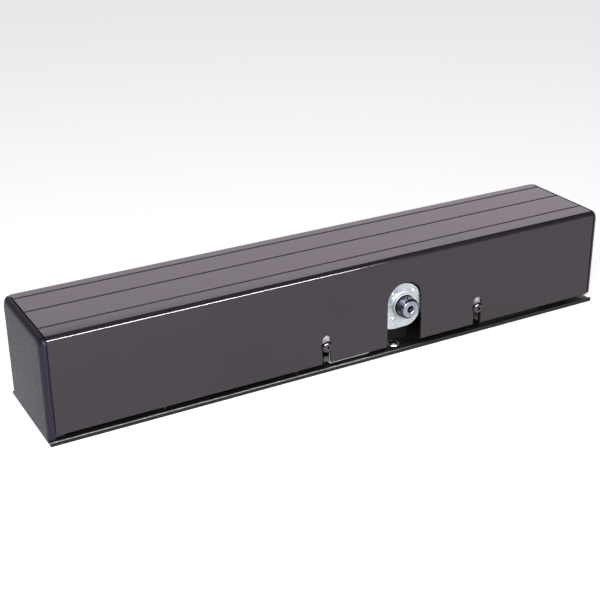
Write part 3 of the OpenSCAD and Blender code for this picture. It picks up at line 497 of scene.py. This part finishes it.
def block(bm, low, high):
    """A box between two corners."""
    outline = [(low[0], low[1]), (high[0], low[1]), (high[0], high[1]), (low[0], high[1])]
    prism(bm, "z", low[2], high[2], outline)


def circle(u, v, radius, count):
    """Points round a circle, anticlockwise from its right."""
    angles = [2 * math.pi * k / count for k in range(count)]
    return [(u + radius * math.cos(a), v + radius * math.sin(a)) for a in angles]


def lathe(bm, axis, u, v, profile, count=64, ring=False):
    """A profile of (along, radius) turned round an axis; a ring joins its last point to the first."""
    rings = [[point(axis, along, *p) for p in circle(u, v, radius, count)] for along, radius in profile]
    loft(bm, rings + rings[:1] if ring else rings, closed_ends=not ring)
    if ring:
        bmesh.ops.remove_doubles(bm, verts=bm.verts[:], dist=1e-5)


def tube(bm, points, radius, count=10):
    """A round tube along smooth points."""
    points = [Vector(p) for p in points]
    side = None
    rings = []
    for k, place in enumerate(points):
        ahead = (points[min(k + 1, len(points) - 1)] - points[max(k - 1, 0)]).normalized()
        guess = side or (Vector((0, 0, 1)) if abs(ahead.z) < 0.9 else Vector((1, 0, 0)))
        side = (guess - guess.dot(ahead) * ahead).normalized()
        other = ahead.cross(side)
        rings.append([place + radius * (math.cos(a) * side + math.sin(a) * other)
                      for a in (2 * math.pi * n / count for n in range(count))])
    loft(bm, rings)


def smooth_route(points, steps=5):
    """Catmull-Rom points through a route."""
    points = [Vector(p) for p in points]
    out = []
    for i in range(len(points) - 1):
        a, b = points[max(i - 1, 0)], points[i]
        c, d = points[i + 1], points[min(i + 2, len(points) - 1)]
        for s in range(steps):
            t = s / steps
            out.append(0.5 * (2 * b + (c - a) * t + (2 * a - 5 * b + 4 * c - d) * t * t
                              + (3 * b - a - 3 * c + d) * t * t * t))
    return out + [points[-1]]


def piece(name, bm, slot, body="base", bevel=0.2, hides=()):
    """Makes a mesh in millimetres into a piece of the scene."""
    bmesh.ops.recalc_face_normals(bm, faces=bm.faces[:])
    bmesh.ops.scale(bm, vec=(MM, MM, MM), verts=bm.verts[:])
    mesh = bpy.data.meshes.new(name)
    bm.to_mesh(mesh)
    bm.free()
    mesh.shade_smooth()
    mesh.set_sharp_from_angle(angle=math.radians(SHARP_ANGLE))
    mesh.materials.append(MATERIALS[slot])
    obj = bpy.data.objects.new(name, mesh)
    bpy.context.scene.collection.objects.link(obj)
    if bevel:
        add_bevel(obj, bevel)
    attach(obj, body)
    if hides:
        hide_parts(*hides)
    return obj


def carve(obj, cutters):
    """Cuts the cutter meshes out of an object for good, before its bevel."""
    bevels = [m for m in obj.modifiers if m.type == "BEVEL"]
    widths = [m.width / MM for m in bevels]
    for m in bevels:
        obj.modifiers.remove(m)
    tools = []
    for k, bm in enumerate(cutters):
        bmesh.ops.recalc_face_normals(bm, faces=bm.faces[:])
        bmesh.ops.scale(bm, vec=(MM, MM, MM), verts=bm.verts[:])
        mesh = bpy.data.meshes.new(f"cutter_{k}")
        bm.to_mesh(mesh)
        bm.free()
        tool = bpy.data.objects.new(f"cutter_{k}", mesh)
        bpy.context.scene.collection.objects.link(tool)
        cut = obj.modifiers.new("cut", "BOOLEAN")
        cut.operation = "DIFFERENCE"
        cut.solver = "EXACT"
        cut.object = tool
        tools.append(tool)
    graph = bpy.context.evaluated_depsgraph_get()
    carved = bpy.data.meshes.new_from_object(obj.evaluated_get(graph))
    obj.modifiers.clear()
    obj.data = carved
    carved.shade_smooth()
    carved.set_sharp_from_angle(angle=math.radians(SHARP_ANGLE))
    for tool in tools:
        bpy.data.objects.remove(tool)
    for width_mm in widths:
        add_bevel(obj, width_mm)


def add_bevel(obj, width_mm):
    """Rounds the edges that are sharp."""
    bevel = obj.modifiers.new("bevel", "BEVEL")
    bevel.width = width_mm * MM
    bevel.segments = 2
    bevel.limit_method = "ANGLE"
    bevel.angle_limit = math.radians(SHARP_ANGLE)
    bevel.harden_normals = True


# ---------------------------------------------------------------- cover and end caps


def header_outline(inset, radius, bottom, grooves=(), steps=14):
    """Front wall, top and rear wall of the header across its length, as (y, z) points."""
    half, top = COVER_Y - inset, COVER_TOP - inset
    points = [(-half, bottom)]
    arc = [math.pi / 2 * k / steps for k in range(steps + 1)]
    points += [(-half + radius * (1 - math.cos(a)), top - radius * (1 - math.sin(a))) for a in arc]
    wide, lip, depth = GROOVE_HALF, GROOVE_LIP, GROOVE_DEPTH
    for y in grooves:
        points += [(y - wide - lip, top), (y - wide, top - lip), (y - wide + 0.1, top - depth),
                   (y + wide - 0.1, top - depth), (y + wide, top - lip), (y + wide + lip, top)]
    points += [(half - radius * (1 - math.sin(a)), top - radius * (1 - math.cos(a))) for a in arc]
    return points + [(half, bottom)]


SPINDLE_NOTCH = 23.3  # radius of the front wall's opening round the spindle
SPINDLE_NOTCH_RISE = 6  # from the spindle up to the middle of that radius
SCREW_SLOT = 5.5  # radius of the slots that leave the cover's screws free
SCREW_SLOT_Z = 38.2  # height of the middle of that radius


def build_cover():
    """Extruded cover, open below, with its notches in the front wall."""
    outer = header_outline(0, CORNER_RADIUS, COVER_BOTTOM, grooves=GROOVES)
    inner = header_outline(WALL, CORNER_RADIUS - WALL, COVER_BOTTOM)
    end = COVER_X - 0.15
    bm = bmesh.new()
    prism(bm, "x", -end, end, outer + inner[::-1])
    shell = piece("cover_shell", bm, "cover_anodised", "cover", bevel=0.35, hides=("cover",))
    notches = [(SPINDLE_X, SPINDLE_NOTCH, SPINDLE_Z + SPINDLE_NOTCH_RISE)]
    notches += [(SPINDLE_X + side * SCREW_PITCH, SCREW_SLOT, SCREW_SLOT_Z) for side in (-1, 1)]
    cutters = []
    for x, radius, top in notches:
        arch = [(x + radius * math.cos(a), top + radius * math.sin(a))
                for a in (math.pi * k / 40 for k in range(41))]
        cutter = bmesh.new()
        prism(cutter, "y", -COVER_Y - 5, -COVER_Y + 8, arch + [(x - radius, 0), (x + radius, 0)])
        cutters.append(cutter)
    carve(shell, cutters)


def build_cover_ribs():
    """Open channels in the upper corners, for the end caps' screws, and a rib on each long wall."""
    end = COVER_X - 12
    channel_y, channel_z, outer_radius, inner_radius = 56.4, 112.4, 3.9, 2.1
    gap = math.radians(35)
    bm = bmesh.new()
    for side in (-1, 1):
        y, z = side * channel_y, channel_z
        middle = math.atan2(-1, -side)
        angles = [middle + gap + (2 * math.pi - 2 * gap) * k / 24 for k in range(25)]
        ring = [(y + outer_radius * math.cos(a), z + outer_radius * math.sin(a)) for a in angles]
        ring += [(y + inner_radius * math.cos(a), z + inner_radius * math.sin(a)) for a in angles[::-1]]
        prism(bm, "x", -end, end, ring)
    for side in (-1, 1):
        y = side * (COVER_Y - WALL)
        rib = [(y, 98), (y - side * 1.6, 98.4), (y - side * 1.6, 99.8), (y, 100.2)]
        prism(bm, "x", -end, end, rib)
    piece("cover_inner_ribs", bm, "cover_anodised", "cover", bevel=0)


def build_cap(side, name, node, opening=None):
    """End cap with rounded outer edges, a shadow gap against the cover and a tongue inside it."""
    bottom = box_mm(node)[0][2]
    radius, steps = 7.5, 12
    profile = [(0.0, 2.2), (1.45, 2.2), (1.47, 0.3), (1.65, 0.1)]
    profile += [(HEADER_X - COVER_X - radius * (1 - math.sin(a)), radius * (1 - math.cos(a)))
                for a in (math.pi / 2 * k / steps for k in range(3, steps + 1))]
    bm = bmesh.new()
    loft(bm, [[point("x", side * (COVER_X + along), y, z)
               for y, z in header_outline(inset, radius, bottom)] for along, inset in profile])
    cap = piece(name, bm, "cap_plastic", "cover", bevel=0.3, hides=(node,))
    if opening:
        cutter = bmesh.new()
        block(cutter, *opening)
        carve(cap, [cutter])
    bm = bmesh.new()
    tongue = header_outline(WALL + 0.1, 3, bottom + 2) + header_outline(WALL + 2.1, 2, bottom + 2)[::-1]
    prism(bm, "x", side * (COVER_X - 10), side * (COVER_X + 0.4), tongue)
    piece(name + "_tongue", bm, "cap_plastic", "cover", bevel=0.2)


build_cover()
build_cover_ribs()
build_cap(-1, "cap_left", "end_cap_left")
switch_low, switch_high = box_mm("mode_switch_body")
build_cap(1, "cap_right", "end_cap_right",
          opening=([COVER_X - 2, *switch_low[1:]], [HEADER_X + 2, *switch_high[1:]]))


# ---------------------------------------------------------------- output: spindle and retainer


def turned(name, slot, body, profile, count=64, ring=False, bevel=0):
    """A piece turned round the spindle's own line, from a profile of (y, radius)."""
    bm = bmesh.new()
    lathe(bm, "y", SPINDLE_X, SPINDLE_Z, profile, count=count, ring=ring)
    piece(name, bm, slot, body, bevel=bevel)


SPINDLE_HOLE = 5.6  # radius of the hole that the thread lines
SHAFT_START = -56.2  # where the serrations end and the round shaft starts, in y


def build_serrations(teeth=48, root=11.6, chamfer=2.6):
    """The spindle's serrated end, hollow for the thread."""
    end = SPINDLE_END

    def star(tip_radius, root_radius):
        points = []
        for k in range(teeth):
            for offset, radius in ((-0.26, root_radius), (-0.1, tip_radius), (0.1, tip_radius),
                                   (0.26, root_radius)):
                a = 2 * math.pi * (k + 0.5 + offset) / teeth
                points.append((SPINDLE_X + radius * math.cos(a), SPINDLE_Z + radius * math.sin(a)))
        return points

    rings = [(end + 0.5, 10.15, 10.15), (end + 0.9, 10.4, 10.3), (end + chamfer, SPINDLE_TIP, root),
             (-60.4, SPINDLE_TIP, root), (SHAFT_START, SPINDLE_TIP, root)]
    bm = bmesh.new()
    loft(bm, [[point("y", along, *p) for p in star(a, b)] for along, a, b in rings])
    body = piece("spindle_serrated", bm, "spindle_steel", "spindle", bevel=0, hides=("output_spindle",))
    hole = bmesh.new()
    lathe(hole, "y", SPINDLE_X, SPINDLE_Z, [(end - 1, SPINDLE_HOLE), (end + 26, SPINDLE_HOLE)])
    carve(body, [hole])


def build_spindle():
    """Bright end face with its countersink, the thread, the bottom of the hole and the stepped shaft."""
    end = SPINDLE_END
    face = [(end + 0.9, 10.2), (end + 0.35, 10.2), (end, 9.85), (end, 9.3), (end + 0.12, 9.1),
            (end + 0.12, 5.4), (end, 5.2), (end, 5.0), (end + 0.25, 4.6), (end + 0.6, 4.3),
            (end + 0.6, 5.7), (end + 0.6, 6.5)]
    turned("spindle_end", "spring_steel", "spindle", face, count=72, ring=True)
    start, bottom, pitch = end + 0.65, end + 24, 1.25
    thread = [(start, 4.25), (end + 1.7, 3.6)]
    for k in range(17):
        along = end + 2.4 + pitch * k
        thread += [(along, 3.4), (along + 0.62, 3.85)]
    thread += [(bottom, 3.4), (bottom, SPINDLE_HOLE + 0.05), (start, SPINDLE_HOLE + 0.05)]
    turned("spindle_thread", "screw_black", "spindle", thread, count=72, ring=True)
    disc = [(bottom, 0.01), (bottom, SPINDLE_HOLE), (bottom + 1, SPINDLE_HOLE), (bottom + 1, 0.01)]
    turned("spindle_hole_end", "spindle_steel", "spindle", disc)
    shaft = [(SHAFT_START, 12.1), (-56, 14.6), (-55.6, 14.9), (-42.3, 14.9), (-42, 14.6), (-42, 13),
             (-22, 13), (-22, 16.6), (-21.6, 17), (-18.4, 17), (-18, 16.6), (-18, 11), (8, 11), (8.4, 9.9),
             (8.4, 9.5), (36, 9.5), (36, 8.4), (44.4, 8.4), (45, 7.8)]
    turned("spindle_shaft", "machined_steel", "spindle", shaft, bevel=0.15)


def rounded_outline(corners, steps=16):
    """Outline round circles of (x, z, radius), given anticlockwise from the upper right."""
    points = []
    for k, (x, z, radius) in enumerate(corners):
        for step in range(steps + 1):
            a = math.pi / 2 * (k + step / steps)
            points.append((x + radius * math.cos(a), z + radius * math.sin(a)))
    return points


def build_retainer():
    """Bright plate with rounded corners and a turned step, a cast hub round the spindle, and its seal."""
    low, high = box_mm("seal_retainer")
    front, back, plate = low[1], high[1], high[1] - 1.2
    outline = rounded_outline([(72.7, 59.2, 23.8), (65, 59.2, 23.8), (61.2, 48.5, 20.3), (76.9, 47.8, 19.3)])
    bm = bmesh.new()
    loft(bm, [[point("y", along, SPINDLE_X + (x - SPINDLE_X) * scale, SPINDLE_Z + (z - SPINDLE_Z) * scale)
               for x, z in outline] for along, scale in ((back, 1), (plate + 0.25, 1), (plate, 0.992))])
    flange = piece("retainer_plate", bm, "zinc_bright", "base", bevel=0, hides=("seal_retainer",))
    hole = bmesh.new()
    lathe(hole, "y", SPINDLE_X, SPINDLE_Z, [(front, 14), (back + 1, 14)])
    carve(flange, [hole])
    bore, rim = SPINDLE_TIP + 0.5, 15
    hub = [(front + 0.8, bore), (front + 0.1, bore + 0.35), (front, bore + 0.6), (front, rim - 0.7),
           (front + 0.2, rim - 0.25), (front + 0.8, rim), (plate - 0.9, rim), (plate - 0.25, rim + 0.25),
           (plate, rim + 0.9), (plate + 0.1, rim + 0.9), (back, rim), (back, bore)]
    turned("retainer_hub", "cast_grey", "base", hub, count=96, ring=True)
    step = [(plate - 0.02, 17.6), (plate - 0.22, 17.8), (plate - 0.22, 18.9), (plate - 0.02, 19.1),
            (plate + 0.3, 18.4)]
    turned("retainer_step", "zinc_bright", "base", step, count=96, ring=True)
    lip = [(front + 1.0, SPINDLE_TIP + 0.15), (front + 0.7, SPINDLE_TIP + 0.3),
           (front + 0.9, SPINDLE_TIP + 0.49), (back, SPINDLE_TIP + 0.49), (back, SPINDLE_TIP + 0.25)]
    turned("seal_lip", "cable_black", "base", lip, count=72, ring=True)


build_serrations()
build_spindle()
build_retainer()


# ---------------------------------------------------------------- screws


def socket_screw(bm, axis, seat, u, v, facing, head_r, head_h, shank_r, shank_len, dome=True):
    """A screw whose head stands on its seat and faces along the axis, with a hexagon socket."""
    def at(along, radius):
        return (seat + facing * along, radius)

    key = shank_r * 0.72  # from the socket's middle to its corners
    steps, sides = 7, 36
    if dome:
        crown = [at(head_h * math.sin(a) ** 0.8 * 0.999,
                    head_r * math.cos(a) ** 0.9 + key * (1 - math.cos(a) ** 0.9))
                 for a in (math.pi / 2 * k / steps for k in range(steps))]
        rim = [at(0, head_r)] + crown[1:] + [at(head_h, key * 1.12)]
    else:
        rim = [at(0, head_r), at(head_h - 0.3, head_r), at(head_h, head_r - 0.3), at(head_h, key * 1.15)]
    shank = [at(-shank_len, 0.4 * shank_r), at(-shank_len + 0.6, shank_r), at(0, shank_r)]
    rings = [[point(axis, along, *p) for p in circle(u, v, radius, sides)] for along, radius in shank + rim]
    # the socket: a hexagon whose sides run down to a flat floor
    for depth in (head_h - 0.15, head_h * 0.4):
        hexagon = []
        for k in range(sides):
            a = 2 * math.pi * k / sides
            reach = key / math.cos((a % (math.pi / 3)) - math.pi / 6) * math.cos(math.pi / 6)
            hexagon.append((u + reach * math.cos(a), v + reach * math.sin(a)))
        rings.append([point(axis, seat + facing * depth, *p) for p in hexagon])
    loft(bm, rings)


def build_cover_screws(head_r=6.7, head_h=3.3, shank_r=2.9):
    """Button screws in front, on each side of the spindle."""
    low, high = box_mm("cover_screws")
    seat, z = low[1] + head_h, (low[2] + high[2]) / 2
    bm = bmesh.new()
    for side in (-1, 1):
        x = SPINDLE_X + side * SCREW_PITCH
        socket_screw(bm, "y", seat, x, z, -1, head_r, head_h, shank_r, high[1] - seat)
    piece("cover_button_screws", bm, "screw_black", "base", bevel=0, hides=("cover_screws",))


def build_foot_washer(x=65.5, y=-50.5):
    """Plated washer under the screw of the gearbox's foot."""
    profile = [(4.6, 3.1), (4.6, 7.9), (4.7, 8.0), (5.5, 7.6), (5.65, 7.3), (5.65, 3.1)]
    bm = bmesh.new()
    lathe(bm, "z", x, y, profile, 48, ring=True)
    piece("foot_washer", bm, "screw_zinc", "base", bevel=0)


build_cover_screws()
build_foot_washer()


# ---------------------------------------------------------------- electronics on the controller board

SMALL_CHIPS = ((-98, -34), (-86, -34), (-74, -36), (-222, -46))  # places are (x, y) on the board
RESISTORS = ((-136, -36), (-136, -32), (-132, -28), (-128, -25), (-108, -26.5), (-104, -26.5), (-92, -28),
             (-88, -28), (-66, -30), (-66, -26), (-66, -22), (-150, -40), (-154, -28), (-154, -24),
             (-196, -13), (-190, -13), (-176, -13), (-224, -36), (-224, -32), (-112, -17), (-108, -17),
             (-104, -17))
DIALS = ((-118, -17), (-126, -38))
CRYSTALS = ((-70, -40.5), (-98, -40.5))
TERMINALS = ((-138, -90, -47), (-150, -122, -17), (-98, -72, -18))  # from x, to x, along y
CAPACITORS = ((-206, -24, 9, 32), (-184, -24, 9, 32), (-166, -22, 6.3, 22))  # x, y, radius, height


def chip(cases, legs, x, y, wide, deep, pins, all_sides=False):
    """A chip's case, and its row of pins on two or four sides."""
    top, reach, half = BOARD_TOP + 1.6, 1.1, 0.2
    loft(cases, [[(x + sx * (wide / 2 - inset), y + sy * (deep / 2 - inset), z) for sx, sy in CORNERS]
                 for z, inset in ((BOARD_TOP + 0.15, 0.25), ((BOARD_TOP + top) / 2, 0), (top, 0.25))])
    dot = [(top - 0.02, 0.35), (top + 0.05, 0.35), (top + 0.05, 0.1)]
    lathe(cases, "z", x - wide / 2 + 1.1, y - deep / 2 + 1.1, dot, 12)
    for k in range(pins):
        along = (k - (pins - 1) / 2) * (wide - 1.2) / (pins - 1)
        for side in (-1, 1):
            edge = y + side * deep / 2
            near, far = sorted((edge, edge + side * reach))
            block(legs, (x + along - half, near, BOARD_TOP), (x + along + half, far, BOARD_TOP + 0.5))
            if all_sides:
                edge = x + side * wide / 2
                near, far = sorted((edge, edge + side * reach))
                block(legs, (near, y + along - half, BOARD_TOP), (far, y + along + half, BOARD_TOP + 0.5))


def build_chips():
    """One large chip with pins on four sides, and the small ones."""
    cases, legs = bmesh.new(), bmesh.new()
    chip(cases, legs, -118, -33, 11, 11, 11, all_sides=True)
    for x, y in SMALL_CHIPS:
        chip(cases, legs, x, y, 5, 4, 4)
    piece("chip_cases", cases, "plastic_black", bevel=0)
    piece("chip_pins", legs, "screw_zinc", bevel=0)


def build_resistors(half=0.9):
    """Dark bodies of that half length, with a bright cap on each end."""
    bodies, ends = bmesh.new(), bmesh.new()
    for x, y in RESISTORS:
        block(bodies, (x - half, y - 0.6, BOARD_TOP), (x + half, y + 0.6, BOARD_TOP + 0.55))
        for side in (-1, 1):
            end = x + side * half
            block(ends, (end - 0.3, y - 0.65, BOARD_TOP), (end + 0.3, y + 0.65, BOARD_TOP + 0.6))
    piece("resistor_bodies", bodies, "brush_carbon", bevel=0)
    piece("resistor_ends", ends, "screw_zinc", bevel=0)


def build_dials_and_crystals():
    """Setting dials with brass screws, and crystals in oval cans."""
    cases, screws = bmesh.new(), bmesh.new()
    for x, y in DIALS:
        block(cases, (x - 3, y - 3, BOARD_TOP), (x + 3, y + 3, BOARD_TOP + 4.6))
        lathe(screws, "z", x, y, [(BOARD_TOP + 4.5, 2.1), (BOARD_TOP + 5.3, 2.1), (BOARD_TOP + 5.3, 0.3)], 24)
    piece("dial_cases", cases, "relay_blue", bevel=0.3)
    piece("dial_screws", screws, "brass", bevel=0.15)
    bm = bmesh.new()
    for x, y in CRYSTALS:
        oval = [(x + 4.6 * u, y + 1.9 * v) for u, v in circle(0, 0, 1, 28)]
        prism(bm, "z", BOARD_TOP + 0.2, BOARD_TOP + 3.4, oval)
    piece("crystal_cans", bm, "bearing_steel", bevel=0.35)


def build_terminal_screws(pitch=5):
    """A screw over each way of the terminal strips."""
    low, high = BOARD_TOP + 8.05, BOARD_TOP + 9.6
    profile = [(low, 1.5), (high - 0.2, 1.5), (high, 1.2), (high, 0.1)]
    bm = bmesh.new()
    for start, stop, y in TERMINALS:
        count = (stop - start) // pitch
        for k in range(count):
            lathe(bm, "z", start + (stop - start) * (k + 0.5) / count, y, profile, 20)
    piece("terminal_screws", bm, "screw_zinc", bevel=0)


def build_capacitor_tops():
    """Aluminium tops of the tall capacitors, with a pressed ring."""
    bm = bmesh.new()
    for x, y, radius, tall in CAPACITORS:
        top = BOARD_TOP + tall
        ring = [(top - 0.02, radius - 1.3), (top + 0.05, radius - 1.6), (top, radius - 2.2)]
        lathe(bm, "z", x, y, ring + [(top + 0.02, 0.2)], 40)
    piece("capacitor_tops", bm, "aluminium_bare", bevel=0)


def build_transistor(face=-138.6, middle=-42):
    """Power transistor screwed to the heat sink, on three legs."""
    bm = bmesh.new()
    block(bm, (face - 4.3, middle - 5, BOARD_TOP + 6), (face, middle + 5, BOARD_TOP + 21))
    piece("power_transistor", bm, "plastic_black", bevel=0.4)
    bm = bmesh.new()
    for y in (middle - 2.5, middle, middle + 2.5):
        block(bm, (face - 2.6, y - 0.4, BOARD_TOP), (face - 2, y + 0.4, BOARD_TOP + 6.1))
    socket_screw(bm, "x", face, middle, BOARD_TOP + 17, 1, 2.6, 1.8, 1.4, 2.0)
    piece("transistor_legs", bm, "screw_zinc", bevel=0)


build_chips()
build_resistors()
build_dials_and_crystals()
build_terminal_screws()
build_capacitor_tops()
build_transistor()


# ---------------------------------------------------------------- transformer, terminals and wiring


def build_core_sheets(count=24, half_depth=28):
    """Edges of the stacked sheets, which stand out of the core's long sides and top."""
    low, high = box_mm("transformer_core")
    start, length = low[0] + 8, high[0] - low[0] - 16
    half = length / count * 0.36
    bm = bmesh.new()
    for k in range(count):
        x = start + length * (k + 0.5) / count
        for y in (-half_depth, half_depth):
            block(bm, (x - half, y - 0.22, 6), (x + half, y + 0.22, 60.5))
        block(bm, (x - half, 1.5 - half_depth, high[2] - 0.25), (x + half, half_depth - 1.5, high[2] - 0.02))
    piece("core_sheets", bm, "lamination", bevel=0)


LEADS = {"black": ((-248, -6, 44), (-243, -5, 45), (-232, -3, 42), (-222, -3, 34), (-205, -4, 26),
                   (-180, -5, 23), (-160, -8, 25), (-148, -14, 27), (-146.5, -17, 25.5)),
         "grey": ((-248, 2, 44), (-242, 2, 46), (-230, 0, 44), (-220, -1, 36), (-204, -1.5, 28),
                  (-178, -2, 26), (-156, -6, 28), (-142, -14, 28), (-141, -17, 25.5))}


def build_leads():
    """Two leads from the winding to the board, and the terminal that they start from."""
    for colour, route in LEADS.items():
        bm = bmesh.new()
        tube(bm, smooth_route(route), 1.0)
        piece("transformer_lead_" + colour, bm, "cable_" + colour, bevel=0)
    bm = bmesh.new()
    block(bm, (-247.2, -8, 40), (-244.5, 5, 48))
    piece("winding_terminal", bm, "terminal_ivory", bevel=0.4)


def build_mains_clamps(x=292, z=22.5, pitch=12):
    """Brass clamps in the mains terminals."""
    bm = bmesh.new()
    for k in (-1, 0, 1):
        socket_screw(bm, "z", z, x, pitch * k, 1, 2.8, 2.4, 1.6, 2.0, dome=False)
    piece("mains_clamps", bm, "brass", bevel=0)


build_core_sheets()
build_leads()
build_mains_clamps()


# ---------------------------------------------------------------- drive details


PISTON_Y, PISTON_Z = 22, 30


def bolt_ring(bm, seat, y, z, facing, radius, count, head_r=2.4, head_h=2.4, shank_r=1.6):
    """Bolts round a line along X, the first one at 45 degrees."""
    for k in range(count):
        a = math.pi / 4 + 2 * math.pi * k / count
        socket_screw(bm, "x", seat, y + radius * math.cos(a), z + radius * math.sin(a), facing,
                     head_r, head_h, shank_r, 2.0, dome=False)


def build_drive_bolts():
    """Bolts in the worm's end cover, the motor's rear cap and the piston's end cap."""
    bm = bmesh.new()
    bolt_ring(bm, box_mm("worm_end_cover")[0][0], WORM_Y, WORM_Z, -1, 12.3, 4)
    bolt_ring(bm, box_mm("motor_rear_cap")[1][0], WORM_Y, WORM_Z, 1, 23.2, 2,
              head_r=2.0, head_h=1.6, shank_r=1.4)
    bolt_ring(bm, box_mm("piston_end_cap")[1][0], PISTON_Y, PISTON_Z, 1, 18, 4)
    piece("drive_bolts", bm, "screw_zinc", bevel=0)


def build_motor_beads():
    """A pressed bead near each end of the motor's can."""
    low, high = box_mm("motor_can")
    outer = (high[2] - low[2]) / 2 + 0.25
    inner = outer - 0.55
    bm = bmesh.new()
    for x in (low[0] + 2.5, high[0] - 2.5):
        bead = [(x - 1, inner), (x - 0.6, outer), (x + 0.6, outer), (x + 1, inner)]
        lathe(bm, "x", WORM_Y, WORM_Z, bead, 72, ring=True)
    piece("motor_beads", bm, "motor_paint", bevel=0)


CABLE_TIES = ((150, 41.5, 79.8), (60, 41.5, 79.6))


def build_cable_ties(half_y=16, half_z=4.2, thick=0.8, half_band=1.8):
    """Ties round the cables, each with its lock on top."""
    bm = bmesh.new()
    for x, y, z in CABLE_TIES:
        outer = [(y + side_y * half_y, z + side_z * half_z) for side_y, side_z in CORNERS]
        inner = [(y + side_y * (half_y - thick), z + side_z * (half_z - thick)) for side_y, side_z in CORNERS]
        near, far = x - half_band, x + half_band
        rings = [[point("x", along, u, v) for u, v in outline]
                 for along, outline in ((near, outer), (far, outer), (far, inner), (near, inner))]
        loft(bm, rings + rings[:1], closed_ends=False)
        bmesh.ops.remove_doubles(bm, verts=bm.verts[:], dist=1e-5)
        block(bm, (x - 2.6, y - 2.4, z + half_z - 0.4), (x + 2.6, y + 2.4, z + half_z + 2.6))
    piece("cable_ties", bm, "plastic_black", bevel=0.3)


build_drive_bolts()
build_motor_beads()
build_cable_ties()


def build_spring(turns=13, wire=2.4, steps=40):
    """Return spring with closed end coils, drawn at rest; the real spring shortens towards its seat as the
    piston comes.
    """
    low, high = box_mm("return_spring")
    y, z = (low[1] + high[1]) / 2, (low[2] + high[2]) / 2
    radius = (high[2] - low[2]) / 2 - wire
    length = high[0] - low[0] - 2 * wire
    closed = 2 * wire + 0.1
    route = []
    for k in range(turns * steps + 1):
        turn = k / steps
        if turn < 1:
            along = closed * turn
        elif turn > turns - 1:
            along = length - closed * (turns - turn)
        else:
            along = closed + (length - 2 * closed) * (turn - 1) / (turns - 2)
        a = 2 * math.pi * turn
        route.append((low[0] + wire + along, y + radius * math.cos(a), z + radius * math.sin(a)))
    bm = bmesh.new()
    tube(bm, route, wire, 12)
    spring = piece("return_spring_coils", bm, "spring_steel", "base", bevel=0, hides=("return_spring",))
    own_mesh(spring)


build_spring()


# ---------------------------------------------------------------- CAD nodes keep their shape

slot_of = {part["node"]: part["material_slot"] for part in frame["record"]["subparts"]}
slot_of["retainer_screws"] = "zinc_bright"  # plated like the plate that they hold
REPLACED = {"cover", "end_cap_left", "end_cap_right", "output_spindle", "seal_retainer", "cover_screws",
            "return_spring"}
FINE_EDGES = {"output_flange": 0.9, "back_plate": 0.85, "cover_bracket_left": 0.5, "gearbox_housing": 1.0,
              "piston_housing": 1.0, "motor_rear_cap": 1.0, "piston_end_cap": 1.0, "relays": 0.4,
              "mains_terminal_block": 0.8, "transformer_coil": 1.2, "capacitors": 0.9}


def soften(obj, width_mm):
    """Joins split corners, makes one face of what is flat, and rounds the sharp edges a little."""
    weld = obj.modifiers.new("weld", "WELD")
    weld.merge_threshold = 1e-6
    flat = obj.modifiers.new("flat_faces", "DECIMATE")
    flat.decimate_type = "DISSOLVE"
    flat.angle_limit = math.radians(0.3)
    add_bevel(obj, width_mm)


for node_name, node_object in frame["nodes"].items():
    node_object.data.materials.clear()
    node_object.data.materials.append(MATERIALS[slot_of[node_name]])
    if node_name not in REPLACED:
        soften(node_object, FINE_EDGES.get(node_name, 0.25))
